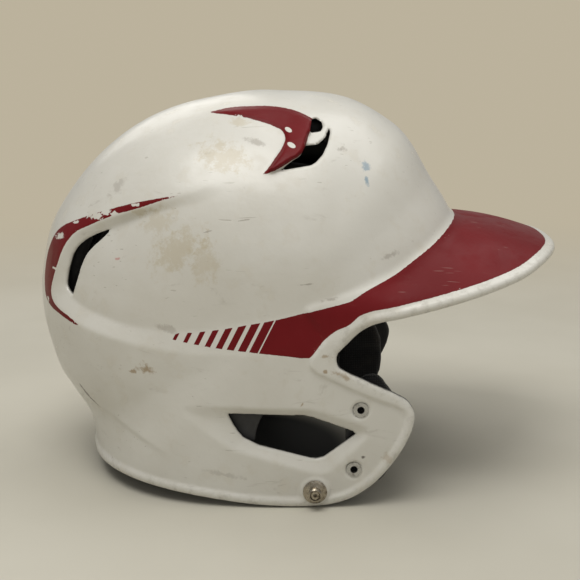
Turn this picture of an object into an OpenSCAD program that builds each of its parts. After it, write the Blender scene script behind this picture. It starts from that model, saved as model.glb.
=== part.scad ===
// Two-ear batting helmet: hard shell with bill, vents and ear flaps, foam
// liners, comfort pads, sprung ear and jaw pads, guard inserts, chin snaps.
// Millimetres. +Z up, the bill points to -Y, the wearer's left is +X.
// Origin: on the floor under the middle of the whole part.

/* [Shell] */
// half of the shell's outside width at ear level
half_w = 94; // [90:1:98]
// moulded wall thickness
wall = 3; // [2.6:0.2:3.4]
// height of the crown above the centre of curvature
crown_r = 112.5; // [110:0.5:115]
// squareness of the shell's cross-section
section_n = 2.25; // [2.1:0.05:2.4]
// how far the side panel is sunk at the back
recess_depth = 4.5; // [2:0.5:5]
// how far the scoop over each front vent stands proud
scoop_rise = 3; // [1:0.5:4]
// how proud the rolled rim stands
rim_rise = 1.2; // [0.6:0.2:1.6]
// width of the rolled rim
rim_w = 6; // [4:0.5:8]

/* [Bill] */
// half of the bill's width at its root
bill_half_w = 92; // [88:1:93]
// how far the bill reaches forward of its side roots
bill_reach = 121; // [112:1:124]
// thickness of the bill sheet
bill_t = 4.4; // [3.6:0.2:5]

/* [Liner and pads] */
// thickness of the brow, crown and rear foam liners
liner_t = 12; // [9:0.5:13]
// thickness of the side foam liners
side_liner_t = 9; // [7:0.5:9.5]
// thickness of the comfort pads
pad_t = 7; // [5:0.5:8]
// thickness of the ear and jaw pads' soft face
cheek_t = 10; // [7:0.5:11]
// how far an ear or jaw pad can be pressed outwards
press_travel = 5; // [3:0.5:5.5]

/* [Fasteners] */
// radius of the guard insert's tapped hole
insert_hole_r = 1.9; // [1.6:0.1:2.2]
// radius of the guard insert's barrel
insert_r = 2.9; // [2.7:0.1:3.2]
// radius of the chin snap's head
snap_head_r = 3.6; // [3.3:0.1:4]
// radius of the chin snap's base flange
snap_flange_r = 6.2; // [5.5:0.1:6.4]

/* [Hidden] */

RIGHT = -1;
LEFT = 1;

SHELL_COLOUR = [0.9, 0.87, 0.8];
LINER_COLOUR = [0.12, 0.12, 0.13];
PAD_COLOUR = [0.1, 0.1, 0.11];
BASE_COLOUR = [0.16, 0.16, 0.17];
FOAM_COLOUR = [0.2, 0.2, 0.21];
TAB_COLOUR = [0.2, 0.2, 0.22];
INSERT_COLOUR = [0.75, 0.75, 0.76];
SNAP_COLOUR = [0.72, 0.7, 0.66];
RIVET_COLOUR = [0.7, 0.69, 0.66];

// ---- Skin: the dome's outer surface ----
// A place on it has a profile angle (0 front, 90 up, 180 back) and a sideways
// angle (0 middle, +90 far left). "Sunk" is the distance inside it.
centre_y = 10;   // centre of curvature
centre_z = 95;
// side profile: [profile angle, radius from the centre of curvature]
PROFILE = [[0, 114], [12, 111], [25, 110], [40, 110.5], [55, 116], [70, 116], [90, crown_r],
  [110, 114.5], [130, 120.5], [150, 125.5], [170, 130.8], [190, 132], [204, 133], [213, 140],
  [225, 149], [240, 185], [255, 225], [270, 245], [290, 240], [310, 222], [330, 190],
  [345, 140], [360, 114]];
spans = len(PROFILE) - 1;

function span_at(angle, i = 0) =
  (i >= spans - 1 || angle < PROFILE[i + 1][0]) ? i : span_at(angle, i + 1);
// slope of the straight span that leaves station i
function slope(i) =
  let (k = i % spans, from = PROFILE[k], to = PROFILE[k + 1])
  (to[1] - from[1]) / (to[0] - from[0]);
// radius at a profile angle, by cubic Hermite interpolation
function profile(angle) =
  let (a = (angle + 720) % 360, i = span_at(a), from = PROFILE[i], to = PROFILE[i + 1],
       width = to[0] - from[0], u = (a - from[0]) / width, u2 = u * u, u3 = u2 * u)
  (2 * u3 - 3 * u2 + 1) * from[1] + (u3 - 2 * u2 + u) * width * slope(i)
  + (3 * u2 - 2 * u3) * to[1] + (u3 - u2) * width * slope(i + 1);

function skin(angle, sideways, sunk) =
  let (power = 2 / section_n, r = (profile(angle) - sunk) * pow(abs(cos(sideways)), power))
  [sign(sideways) * (half_w - sunk) * pow(abs(sin(sideways)), power),
   centre_y - r * cos(angle), centre_z + r * sin(angle)];
// half width of the sunk skin over the point (y, z)
function half_width(y, z, sunk) =
  let (r = norm([y - centre_y, z - centre_z]), angle = atan2(z - centre_z, centre_y - y))
  (half_w - sunk) * pow(max(0, 1 - pow(r / (profile(angle) - sunk), section_n)), 1 / section_n);
// share of the side panel's depth at y: small in front, all of it at the back
function recess_share(y) =
  let (u = min(1, max(0, (y - 34) / (96 - 34)))) 0.18 + 0.82 * u * u * (3 - 2 * u);

// a four-sided face as two triangles
function quad(a, b, c, d) = [[a, b, c], [a, c, d]];

// closed skin; recess sinks it further, by recess_share
module skin_solid(sunk, recess = 0, step = 7.5, rows = 24) {
  ring = 360 / step;
  function point(i, j) =
    let (angle = i * step, sideways = -90 + 180 * j / rows, y = skin(angle, sideways, 0)[1])
    skin(angle, sideways, sunk + recess * recess_share(y));
  points = concat([point(0, 0)],
    [for (j = [1:rows - 1]) for (i = [0:ring - 1]) point(i, j)],
    [point(0, rows)]);
  last = len(points) - 1;
  polyhedron(points, concat(
    [for (i = [0:ring - 1]) [0, 1 + (i + 1) % ring, 1 + i]],
    [for (j = [0:rows - 3]) for (i = [0:ring - 1])
      let (a = 1 + j * ring + i, b = 1 + j * ring + (i + 1) % ring)
      each quad(a, b, b + ring, a + ring)],
    [for (i = [0:ring - 1]) [last, last - ring + i, last - ring + (i + 1) % ring]]),
    convexity = 6);
}

// closed sheet between two grids of points, each of (cells + 1) points a way
module sheet(cells, outer, inner, flip) {
  nu = cells[0];
  nv = cells[1];
  function id(i, j, layer) = layer * (nu + 1) * (nv + 1) + i * (nv + 1) + j;
  faces = concat(
    [for (i = [0:nu - 1]) for (j = [0:nv - 1]) each concat(
      quad(id(i, j, 0), id(i, j + 1, 0), id(i + 1, j + 1, 0), id(i + 1, j, 0)),
      quad(id(i, j, 1), id(i + 1, j, 1), id(i + 1, j + 1, 1), id(i, j + 1, 1)))],
    [for (i = [0:nu - 1]) each concat(
      quad(id(i, 0, 0), id(i + 1, 0, 0), id(i + 1, 0, 1), id(i, 0, 1)),
      quad(id(i, nv, 0), id(i, nv, 1), id(i + 1, nv, 1), id(i + 1, nv, 0)))],
    [for (j = [0:nv - 1]) each concat(
      quad(id(0, j, 0), id(0, j, 1), id(0, j + 1, 1), id(0, j + 1, 0)),
      quad(id(nu, j, 0), id(nu, j + 1, 0), id(nu, j + 1, 1), id(nu, j, 1)))]);
  polyhedron(concat(outer, inner), flip ? [for (f = faces) [f[0], f[2], f[1]]] : faces,
    convexity = 6);
}

// ---- Placing ----
bill_root = 25;       // how far the bill's side roots lie towards -Y
bill_tip_extra = 0.3; // allowance beyond the bill's tip
rear_reach = max([for (angle = [170:1:200]) centre_y - profile(angle) * cos(angle)]);

// puts the origin under the middle of the whole part, lengthways
module centred() {
  translate([0, (bill_root + bill_reach + bill_tip_extra - rear_reach) / 2, 0]) children();
}

// prisms along X from an outline in (y, z)
beyond = 130;         // past the part's side
module across(from = -beyond, to = beyond) {
  multmatrix([[0, 0, 1, from], [1, 0, 0, 0], [0, 1, 0, 0], [0, 0, 0, 1]])
    linear_extrude(height = to - from) children();
}
module both_sides(from = 20) {
  across(from, beyond) children();
  across(-beyond, -from) children();
}
// turns Z outwards at a place on one side, shifted outwards by shift
module along_x(side, place, shift = 0) {
  translate([side * (place[0] + shift), place[1], place[2]])
    rotate([0, side * 90, 0]) children();
}

// ---- Shell outlines, [y, z] ----
// lower edge, from the ear flap's front corner round the flap and along to the back
EDGE = [[-24, 81], [-27, 74.5], [-33, 70.5], [-41, 67], [-56, 60], [-61.5, 56], [-64.3, 50],
  [-63.6, 44], [-59.5, 33], [-52, 21], [-42, 10.4], [-32, 4], [-21, 0.6], [-6, 0], [20, 1.3],
  [46, 3.9], [73, 7.3], [90, 10], [103, 13.5], [115, 17], [128, 20.5], [160, 23]];
// front edge, from above the ear flap forwards
BROW = [[-30, 88], [-40, 98], [-60, 111], [-80, 119], [-100, 123], [-160, 123]];
KEEP = concat([for (i = [len(BROW) - 1:-1:0]) BROW[i]], EDGE, [[160, 230], [-160, 230]]);
// where the rim follows the edge of KEEP
RIM_ZONE = [[-80, -10], [-80, 70], [-34, 88], [-20, 84.4], [40, 40], [155, 40], [155, -10]];
SIDE_PANEL = [[36, 165], [45, 162], [62, 157], [80, 151], [96, 145], [108, 139], [117, 131],
  [121.5, 123], [123.5, 114], [121, 107], [110.5, 99.5], [99, 95.5], [80, 93.5], [59, 92.5],
  [36, 95]];
REAR_SLOT = [[90.5, 141.5], [98.8, 136], [107, 131], [111.5, 124], [115, 115.6],
  [116.5, 108.5], [112.5, 104.5], [109.5, 112.6], [106.5, 120.6], [102, 128.6], [97, 133.5]];
SCOOP = [[43, 198], [26, 203], [5, 202], [-13, 196], [-12.7, 193.6], [-10.6, 188.7],
  [-8.6, 183.2], [-5.6, 178.3], [-0.6, 175.1], [4.8, 171.9], [13.7, 169], [2.5, 184.2],
  [2, 187.8], [4.6, 190.5], [23, 195.4]];
VENT_LOWER = [[4.8, 171.5], [-5.6, 173], [-13.6, 175], [-16.6, 178.6], [-19.7, 184],
  [-20.8, 189.9], [-19.4, 188], [-16, 183.8], [-8.6, 182.4], [-5.6, 178], [-0.6, 174.6]];
VENT_UPPER = [[-12.4, 194.4], [-17.6, 193], [-17.6, 190], [-15.2, 187.6], [-11, 187.6]];
EAR_HOLE = [[29, 51], [-8.5, 50.6], [-33.7, 41], [-17.5, 27.5], [-14, 27.5], [-0.8, 30.4],
  [14.4, 34.3], [24, 40.7], [27, 45]];
EAR_DISH = [[57, 50], [54, 56.5], [-6, 55], [-28.6, 48.5], [-40, 43.5], [-43.7, 40.5],
  [-21, 20.5], [-15, 19.5], [-1, 23.5], [24, 31.5], [44, 43]];
// [distance from the middle plane where the cut starts, outline]
OPENINGS = [[30, REAR_SLOT], [25, VENT_LOWER], [25, VENT_UPPER], [50, EAR_HOLE]];
dish_depth = 1.6;
rim_overhang = 4;     // how far the rim band's outline passes the edge, before trimming

// ---- Fastener seats in the left ear flap: [x, y, z] ----
INSERTS = [[90.4, -36.5, 53], [88.4, -33.5, 20.5]];
SNAP = [90.6, -13.6, 9];
insert_seat_r = 4.4;
insert_backing = [7.6, 3.5];   // [radius, thickness] of the flap behind the seat
snap_backing = [7.5, 5.4];
snap_boss = [7.2, 8];          // [radius, height]
insert_clearance = 0.15;
snap_hole_r = 2.15;

// ---- Bill ----
bill_n = 2.5;         // squareness of the bill's plan
bill_edge_extra = 0.6;
bill_side_t = 3.4;    // thickness at the side roots
bill_lip = 0.55;      // share of the thickness left at the edge
bill_arch = 2.2;      // rise halfway from root to edge
bill_side_angle = 80; // sideways angle of the side roots
// bill edge: [y, z]
BILL_EDGE = [[-147, 124.5], [-140, 123.5], [-133, 121.5], [-124, 118], [-106, 113.2],
  [-80, 107.2], [-55, 101.6], [-40, 98.2], [-35, 95.7], [-28, 89.5], [-24, 84]];
// line where the bill meets the dome: [sideways angle, profile angle]
BILL_ROOT = [[0, 22.4], [24, 22.3], [44, 20.6], [64, 18.5], [80, 24]];

// along the bill, turn runs from 0 at the side root to 90 at the front middle
function edge_point(turn) =
  let (power = 2 / bill_n, y = -bill_root - bill_reach * pow(sin(turn), power))
  [(bill_half_w + bill_edge_extra) * pow(cos(turn), power), y, lookup(y, BILL_EDGE)];
function root_point(turn) =
  let (sideways = bill_side_angle * (1 - turn / 90))
  skin(lookup(sideways, BILL_ROOT), max(sideways, 0.001), -0.3 + 0.6 * sin(turn));
// middle of the sheet, at share s of the way from root to edge
function bill_mid(turn, s) =
  let (root = root_point(turn))
  root + (edge_point(turn) - root) * s + [0, 0, bill_arch * sin(180 * s) * sin(turn)];
function bill_normal(turn, s) =
  let (along = bill_mid(min(89.9, turn + 2), s) - bill_mid(max(0, turn - 2), s),
       out = bill_mid(turn, min(1, s + 0.1)) - bill_mid(turn, max(0, s - 0.1)),
       c = cross(along, out), n = turn > 89 ? [0, c[1], c[2]] : c)
  n / norm(n);

module bill() {
  cells = [16, 5];    // side to side, root to edge
  function point(i, j, face) =
    let (f = -1 + 2 * i / cells[0], turn = 90 * (1 - abs(f)), s = j / cells[1],
         t = (bill_side_t + (bill_t - bill_side_t) * sin(turn)) * (s == 1 ? bill_lip : 1),
         p = bill_mid(turn, s) + bill_normal(turn, s) * face * t / 2)
    [f < 0 ? -p[0] : p[0], p[1], p[2]];
  function grid(face) = [for (i = [0:cells[0]]) for (j = [0:cells[1]]) point(i, j, face)];
  sheet(cells, grid(1), grid(-1), flip = true);
}

// ---- Shell ----
// band along the lower edge, from the ear flap's corner to the nape
module rim_band() {
  intersection() {
    across() intersection() {
      difference() {
        offset(delta = rim_overhang) polygon(KEEP);
        offset(delta = -rim_w) polygon(KEEP);
      }
      polygon(RIM_ZONE);
    }
    skin_solid(-rim_rise, 0, 7.5, 20);
  }
}

// dome and ear flaps, filled, with the side panels and ear dishes sunk
module dome() {
  intersection() {
    union() {
      difference() {
        skin_solid(0, 0, 5, 30);
        difference() {
          both_sides() polygon(SIDE_PANEL);
          skin_solid(0, recess_depth);
        }
        difference() {
          both_sides(60) polygon(EAR_DISH);
          skin_solid(dish_depth);
        }
      }
      rim_band();
    }
    across() polygon(KEEP);
  }
}

module scoops() {
  intersection() {
    both_sides(18) polygon(SCOOP);
    skin_solid(-scoop_rise);
  }
}

// hollow inside the wall, kept clear of the panels and the fastener seats
module cavity() {
  difference() {
    skin_solid(wall);
    difference() {
      both_sides() offset(delta = wall) polygon(SIDE_PANEL);
      skin_solid(wall, recess_depth);
    }
    for (side = [RIGHT, LEFT]) {
      along_x(side, SNAP, -snap_backing[1]) cylinder(r = snap_backing[0], h = 10, $fn = 32);
      for (place = INSERTS)
        along_x(side, place, -insert_backing[1])
          cylinder(r = insert_backing[0], h = 10, $fn = 24);
    }
  }
}

module flap_hole(side, place, radius) {
  along_x(side, [70, place[1], place[2]]) cylinder(r = radius, h = 40, $fn = 32);
}

module shell() {
  // a resize by zeros keeps every size; it has the shell evaluated as one mesh
  color(SHELL_COLOUR) centred() resize([0, 0, 0]) {
    difference() {
      union() {
        dome();
        scoops();
        bill();
        for (side = [RIGHT, LEFT])
          along_x(side, SNAP, -snap_boss[1])
            cylinder(r = snap_boss[0], h = snap_boss[1], $fn = 32);
      }
      cavity();
      for (opening = OPENINGS) both_sides(opening[0]) polygon(opening[1]);
      for (side = [RIGHT, LEFT]) {
        for (place = INSERTS) {
          along_x(side, place) cylinder(r = insert_seat_r, h = 10, $fn = 24);
          flap_hole(side, place, insert_r + insert_clearance);
        }
        flap_hole(side, SNAP, snap_hole_r);
      }
    }
  }
}

// ---- Patches: sheets between two sunk skins ----
// cells: grid cells each way; depths: [outer, inner] distances inside the skin
box_corner = 0.8;     // corner rounding of liners and comfort pads
arc_corner = 0.6;     // corner rounding of ear and jaw pads
box_thinning = 0.35;  // share of the thickness lost at the edge
nudge = 0.0001;       // keeps sideways angles off exactly 0

// square of grid places from -1 to 1 each way
function unit_grid(cells) =
  [for (i = [0:cells[0]]) for (j = [0:cells[1]]) [-1 + 2 * i / cells[0], -1 + 2 * j / cells[1]]];
function rounded(uv, corner) =
  [for (k = [0, 1]) uv[k] * (1 - corner + corner * sqrt(1 - uv[1 - k] * uv[1 - k] / 2))];
// rounded box of places; centre and half are angles or lengths
function box(cells, centre, half) =
  [for (uv = unit_grid(cells)) let (r = rounded(uv, box_corner))
    [centre[0] + half[0] * r[0], centre[1] + half[1] * r[1]]];
// depth of the inner face at each grid place
function inner_depths(cells, depths, thinning) =
  [for (uv = unit_grid(cells))
    depths[1] - (depths[1] - depths[0]) * thinning * pow(max(abs(uv[0]), abs(uv[1])), 6)];

// over the dome; centre and half are [profile angle, sideways angle]
module dome_patch(cells, depths, centre, half) {
  places = box(cells, centre, half);
  inner = inner_depths(cells, depths, box_thinning);
  function at(k, sunk) = skin(places[k][0], nudge + places[k][1], sunk);
  sheet(cells, [for (k = [0:len(places) - 1]) at(k, depths[0])],
    [for (k = [0:len(places) - 1]) at(k, inner[k])], flip = true);
}

// on one side; places are a grid of [y, z]
module side_sheet(side, cells, depths, places, thinning) {
  inner = inner_depths(cells, depths, thinning);
  function at(k, sunk) =
    let (y = places[k][0], z = places[k][1]) [side * half_width(y, z, sunk), y, z];
  sheet(cells, [for (k = [0:len(places) - 1]) at(k, depths[0])],
    [for (k = [0:len(places) - 1]) at(k, inner[k])], flip = side < 0);
}

// ---- Liners and comfort pads ----
liner_outer = wall + 1;
liner_inner = liner_outer + liner_t;
side_outer = wall + recess_depth + 0.4;
side_inner = side_outer + side_liner_t - 2.5;
tab_gap = 1.8;        // between a liner and its comfort pad
LINER = [liner_outer, liner_inner];
REAR_LINER = [side_outer + 0.5, liner_inner];
NAPE = [liner_outer, liner_outer + 9];
COMFORT = [liner_inner + tab_gap, liner_inner + tab_gap + pad_t];
SIDE_LINER = [side_outer, side_inner];
SIDE_COMFORT = [side_inner + tab_gap, side_inner + tab_gap + pad_t - 1];

module side_liner(side) {
  side_sheet(side, [10, 8], SIDE_LINER, box([10, 8], [14, 128], [56, 34]), box_thinning);
}
module side_pad(side) {
  side_sheet(side, [8, 6], SIDE_COMFORT, box([8, 6], [14, 124], [44, 24]), box_thinning);
}

module brow_liner() {
  color(LINER_COLOUR) centred() dome_patch([8, 12], LINER, [35, 0], [16, 42]);
}
module crown_liner() {
  color(LINER_COLOUR) centred() dome_patch([10, 8], LINER, [88, 0], [32, 29]);
}
module rear_liner() {
  color(LINER_COLOUR) centred() dome_patch([10, 8], REAR_LINER, [160, 0], [36, 30]);
}
module side_liner_right() { color(LINER_COLOUR) centred() side_liner(RIGHT); }
module side_liner_left() { color(LINER_COLOUR) centred() side_liner(LEFT); }
module nape_pad() {
  color(PAD_COLOUR) centred() dome_patch([4, 12], NAPE, [205, 0], [6, 30]);
}
module brow_pad() {
  color(PAD_COLOUR) centred() dome_patch([6, 12], COMFORT, [33, 0], [12, 38]);
}
module crown_pad() {
  color(PAD_COLOUR) centred() dome_patch([8, 8], COMFORT, [88, 0], [24, 22]);
}
module rear_pad() {
  color(PAD_COLOUR) centred() dome_patch([8, 8], COMFORT, [160, 0], [28, 25]);
}
module side_pad_right() { color(PAD_COLOUR) centred() side_pad(RIGHT); }
module side_pad_left() { color(PAD_COLOUR) centred() side_pad(LEFT); }

// ---- Ear and jaw pads: base, foam and face, from the shell inwards ----
layer_gap = 0.1;
base_outer = 7.2;
base_inner = base_outer + 1.4;
foam_outer = base_inner + layer_gap;
foam_inner = foam_outer + press_travel + 0.3;
face_outer = foam_inner + layer_gap;
face_thinning = 0.3;
foam_trim = 1.5;      // how far the foam is set in all round
mm_per_degree = 0.7;  // turns the trim into degrees along the arc
// [cells, arc centre [y, z], [start angle, end angle, inner radius, outer radius]]
EAR_PAD = [[14, 4], [-6, 38], [52, 200, 21, 45]];   // above and behind the ear hole
JAW_PAD = [[8, 4], [-6, 36], [-38, 37, 23, 51]];    // in front of it

module arc_patch(side, pad, depths, thinning = 0, trim = 0) {
  turn_trim = trim / mm_per_degree;
  arc = pad[2] + [turn_trim, -turn_trim, trim, -trim];
  places = [for (uv = unit_grid(pad[0]))
    let (r = rounded(uv, arc_corner),
         angle = (arc[0] + arc[1]) / 2 + (arc[1] - arc[0]) / 2 * r[0],
         radius = (arc[2] + arc[3]) / 2 + (arc[3] - arc[2]) / 2 * r[1])
    pad[1] + radius * [-cos(angle), sin(angle)]];
  side_sheet(side, pad[0], depths, places, thinning);
}
module pad_base(side, pad) { arc_patch(side, pad, [base_outer, base_inner]); }
module pad_foam(side, pad) {
  arc_patch(side, pad, [foam_outer, foam_inner], trim = foam_trim);
}
module pad_face(side, pad) {
  arc_patch(side, pad, [face_outer, face_outer + cheek_t], thinning = face_thinning);
}

module ear_pad_base_right() { color(BASE_COLOUR) centred() pad_base(RIGHT, EAR_PAD); }
module ear_pad_foam_right() { color(FOAM_COLOUR) centred() pad_foam(RIGHT, EAR_PAD); }
module ear_pad_face_right() { color(PAD_COLOUR) centred() pad_face(RIGHT, EAR_PAD); }
module ear_pad_base_left() { color(BASE_COLOUR) centred() pad_base(LEFT, EAR_PAD); }
module ear_pad_foam_left() { color(FOAM_COLOUR) centred() pad_foam(LEFT, EAR_PAD); }
module ear_pad_face_left() { color(PAD_COLOUR) centred() pad_face(LEFT, EAR_PAD); }
module jaw_pad_base_right() { color(BASE_COLOUR) centred() pad_base(RIGHT, JAW_PAD); }
module jaw_pad_foam_right() { color(FOAM_COLOUR) centred() pad_foam(RIGHT, JAW_PAD); }
module jaw_pad_face_right() { color(PAD_COLOUR) centred() pad_face(RIGHT, JAW_PAD); }
module jaw_pad_base_left() { color(BASE_COLOUR) centred() pad_base(LEFT, JAW_PAD); }
module jaw_pad_foam_left() { color(FOAM_COLOUR) centred() pad_foam(LEFT, JAW_PAD); }
module jaw_pad_face_left() { color(PAD_COLOUR) centred() pad_face(LEFT, JAW_PAD); }

// ---- Fasteners: Z points outwards from the seat ----
seat_gap = 0.1;
insert_depth = 5;

// tapped insert: barrel through the flap, flange at its inner end, low collar outside
module insert() {
  difference() {
    union() {
      translate([0, 0, -insert_depth]) cylinder(r = insert_r, h = insert_depth + 0.3, $fn = 48);
      translate([0, 0, -insert_depth]) cylinder(r = 6.8, h = 1.3, $fn = 48);
      cylinder(r = 3.9, h = 0.5, $fn = 48);
    }
    translate([0, 0, -insert_depth - 1]) cylinder(r = insert_hole_r, h = 8, $fn = 48);
  }
}
module guard_inserts(side) {
  for (place = INSERTS) along_x(side, place, seat_gap) insert();
}
module guard_inserts_right() { color(INSERT_COLOUR) centred() guard_inserts(RIGHT); }
module guard_inserts_left() { color(INSERT_COLOUR) centred() guard_inserts(LEFT); }

// half sections: [radius, distance outwards]
snap_neck_r = snap_head_r - 0.6;
STUD = [[1.95, 0], [snap_flange_r - 0.3, 0], [snap_flange_r, 0.3], [snap_flange_r, 0.7],
  [snap_flange_r - 1, 1.2], [snap_head_r + 0.5, 1.5], [snap_neck_r, 1.9], [snap_neck_r, 3],
  [snap_head_r, 3.5], [snap_head_r, 5], [snap_head_r - 0.7, 5.6], [2.7, 5.6], [2.7, 4.4],
  [1.95, 4.4]];
RIVET = [[0, -7.4], [3.6, -7.4], [3.9, -7.1], [3.9, -6.5], [1.9, -6.5], [1.9, 4.6],
  [2.5, 4.6], [2.5, 5], [2.1, 5.3], [1, 5.3], [1, 3], [0, 3]];

// flanged stud on a hollow-ended rivet, with a washer inside the flap
module snap_stud(side) {
  along_x(side, SNAP, seat_gap) rotate_extrude($fn = 64) polygon(STUD);
}
module snap_rivet(side) {
  along_x(side, SNAP) rotate_extrude($fn = 48) polygon(RIVET);
}
module snap_washer(side) {
  along_x(side, SNAP, -6.4) difference() {
    cylinder(r = 5.6, h = 0.9, $fn = 48);
    translate([0, 0, -1]) cylinder(r = 2, h = 3, $fn = 48);
  }
}
module chin_snap_right() { color(SNAP_COLOUR) centred() snap_stud(RIGHT); }
module chin_snap_left() { color(SNAP_COLOUR) centred() snap_stud(LEFT); }
module chin_rivet_right() { color(RIVET_COLOUR) centred() snap_rivet(RIGHT); }
module chin_rivet_left() { color(RIVET_COLOUR) centred() snap_rivet(LEFT); }
module chin_washer_right() { color(RIVET_COLOUR) centred() snap_washer(RIGHT); }
module chin_washer_left() { color(RIVET_COLOUR) centred() snap_washer(LEFT); }

// ---- Hook-and-loop tabs between the liners and the comfort pads ----
tab_r = 5;
tab_t = 0.5;
// [profile angle, sideways angle]
TABS = [[33, -24], [33, 0], [33, 24], [76, 0], [100, 0], [146, 0], [174, 0]];

module tab(angle, sideways) {
  sunk = liner_inner + 0.8;
  turn = sideways + nudge;
  place = skin(angle, turn, sunk);
  normal = cross(skin(angle + 2, turn, sunk) - skin(angle - 2, turn, sunk),
    skin(angle, turn + 2, sunk) - skin(angle, turn - 2, sunk));
  // picks the normal that points outwards
  out = normal * (normal * (place - skin(angle, turn, sunk + 3)) > 0 ? 1 : -1);
  translate(place) rotate([0, acos(out[2] / norm(out)), atan2(out[1], out[0])])
    translate([0, 0, -tab_t]) cylinder(r = tab_r, h = tab_t, $fn = 32);
}
module pad_tabs() {
  color(TAB_COLOUR) centred() for (place = TABS) tab(place[0], place[1]);
}

shell();
brow_liner();
crown_liner();
rear_liner();
side_liner_right();
side_liner_left();
nape_pad();
brow_pad();
crown_pad();
rear_pad();
side_pad_right();
side_pad_left();
ear_pad_base_right();
ear_pad_foam_right();
ear_pad_face_right();
ear_pad_base_left();
ear_pad_foam_left();
ear_pad_face_left();
jaw_pad_base_right();
jaw_pad_foam_right();
jaw_pad_face_right();
jaw_pad_base_left();
jaw_pad_foam_left();
jaw_pad_face_left();
guard_inserts_right();
guard_inserts_left();
chin_snap_right();
chin_snap_left();
chin_rivet_right();
chin_rivet_left();
chin_washer_right();
chin_washer_left();
pad_tabs();
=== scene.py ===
"""Helmet with a bill, two ear flaps, foam liners and soft pads.

The helmet faces -Y with +Z up, its left side is +X, and it is centred lengthways.
Shapes are worked out in millimetres before that centring (see MID) and built in metres.
"""
import itertools
import math
from dataclasses import dataclass
from functools import partial
from typing import Callable

import bpy
import numpy as np
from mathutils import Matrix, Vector
from mathutils.bvhtree import BVHTree

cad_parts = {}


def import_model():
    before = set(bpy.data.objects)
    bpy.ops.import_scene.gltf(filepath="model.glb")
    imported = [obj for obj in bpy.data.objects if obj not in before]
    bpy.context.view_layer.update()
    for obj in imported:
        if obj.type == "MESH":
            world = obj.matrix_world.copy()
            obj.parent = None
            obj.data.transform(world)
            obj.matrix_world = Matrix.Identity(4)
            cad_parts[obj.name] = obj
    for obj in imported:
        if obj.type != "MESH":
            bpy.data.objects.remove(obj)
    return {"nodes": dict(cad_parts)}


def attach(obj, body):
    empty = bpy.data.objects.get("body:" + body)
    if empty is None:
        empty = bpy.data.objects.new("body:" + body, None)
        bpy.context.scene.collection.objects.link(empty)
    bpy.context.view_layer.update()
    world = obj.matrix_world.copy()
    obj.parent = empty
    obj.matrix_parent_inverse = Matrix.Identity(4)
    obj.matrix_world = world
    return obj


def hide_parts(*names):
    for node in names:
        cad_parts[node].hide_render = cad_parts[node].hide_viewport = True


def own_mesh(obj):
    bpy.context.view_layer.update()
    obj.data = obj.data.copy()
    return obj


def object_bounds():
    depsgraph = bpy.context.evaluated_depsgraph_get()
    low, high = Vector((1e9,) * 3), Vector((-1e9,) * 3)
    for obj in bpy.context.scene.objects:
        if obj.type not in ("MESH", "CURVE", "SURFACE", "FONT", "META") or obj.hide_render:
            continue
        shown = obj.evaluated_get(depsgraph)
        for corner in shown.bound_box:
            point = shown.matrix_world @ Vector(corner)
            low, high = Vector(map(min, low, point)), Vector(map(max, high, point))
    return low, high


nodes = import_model()["nodes"]
cad_low, cad_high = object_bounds()

# ------------------------------------------------------------------ dome
AXIS_Y, AXIS_Z = 10.0, 95.0     # sideways axis that the profile turns about
HALF_WIDTH = 94.0
POWER = 2.25                    # superellipse exponent from the profile to the sides
WALL = 3.0
BILL_Y, BILL_REACH = -25, 121   # where the bill starts at the sides, and how far forward it goes
FRONT_MARGIN = 0.3

# (angle, radius) of the middle profile: 0 degrees is the front, 90 the top, 180 the back
PROFILE = np.array([
    (0, 114), (12, 111), (25, 110), (40, 110.5), (55, 116), (70, 116), (90, 112.5), (110, 114.5),
    (130, 120.5), (150, 125.5), (170, 130.8), (190, 132), (204, 133), (213, 140), (225, 149),
    (240, 185), (255, 225), (270, 245), (290, 240), (310, 222), (330, 190), (345, 140),
    (360, 114)], float)
# (angle, radius) where the back draws in towards the nape, then turns down
NAPE = np.array([
    (155, 127.0), (165, 128.7), (175, 129.6), (183, 129.2), (190, 127.9), (197, 127.3),
    (203, 126.3), (208, 124.9), (211.5, 124.3), (214, 126.0), (217.5, 129.8), (221, 135.6),
    (226, 148), (232, 165), (240, 185)], float)
ANGLE_STEP = 0.05
NAPE_BLUR = 1.3                 # degrees


def ease(start, end, x):
    """Smooth step from 0 at start to 1 at end."""
    u = np.clip((x - start) / (end - start), 0, 1)
    return u * u * (3 - 2 * u)


def hermite(u, first, last, slope_first, slope_last, span=1):
    """Cubic between two values; slopes are per unit of span."""
    return ((2 * u**3 - 3 * u**2 + 1) * first + (u**3 - 2 * u**2 + u) * span * slope_first
            + (3 * u**2 - 2 * u**3) * last + (u**3 - u**2) * span * slope_last)


def profile_table():
    angle, radius = PROFILE.T
    count = len(PROFILE) - 1
    width = np.diff(angle)
    slope = np.diff(radius) / width
    at = np.arange(0, 360 + ANGLE_STEP / 2, ANGLE_STEP)
    i = np.clip(np.searchsorted(angle, at, side="right") - 1, 0, count - 1)
    u = (at - angle[i]) / width[i]
    return at, hermite(u, radius[i], radius[i + 1], slope[i], slope[(i + 1) % count], width[i])


def with_nape(angles, radii):
    """The radii with the nape, softened, blended into the back."""
    offset = np.arange(-4, 4.01, ANGLE_STEP)
    weight = np.exp(-0.5 * (offset / NAPE_BLUR) ** 2)
    padded = np.pad(angles, len(offset) // 2, mode="reflect", reflect_type="odd")
    drawn = np.convolve(np.interp(padded, NAPE[:, 0], NAPE[:, 1]), weight / weight.sum(),
                        mode="valid")
    share = ease(158, 170, angles) * ease(238, 230, angles)
    return radii * (1 - share) + drawn * share


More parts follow.
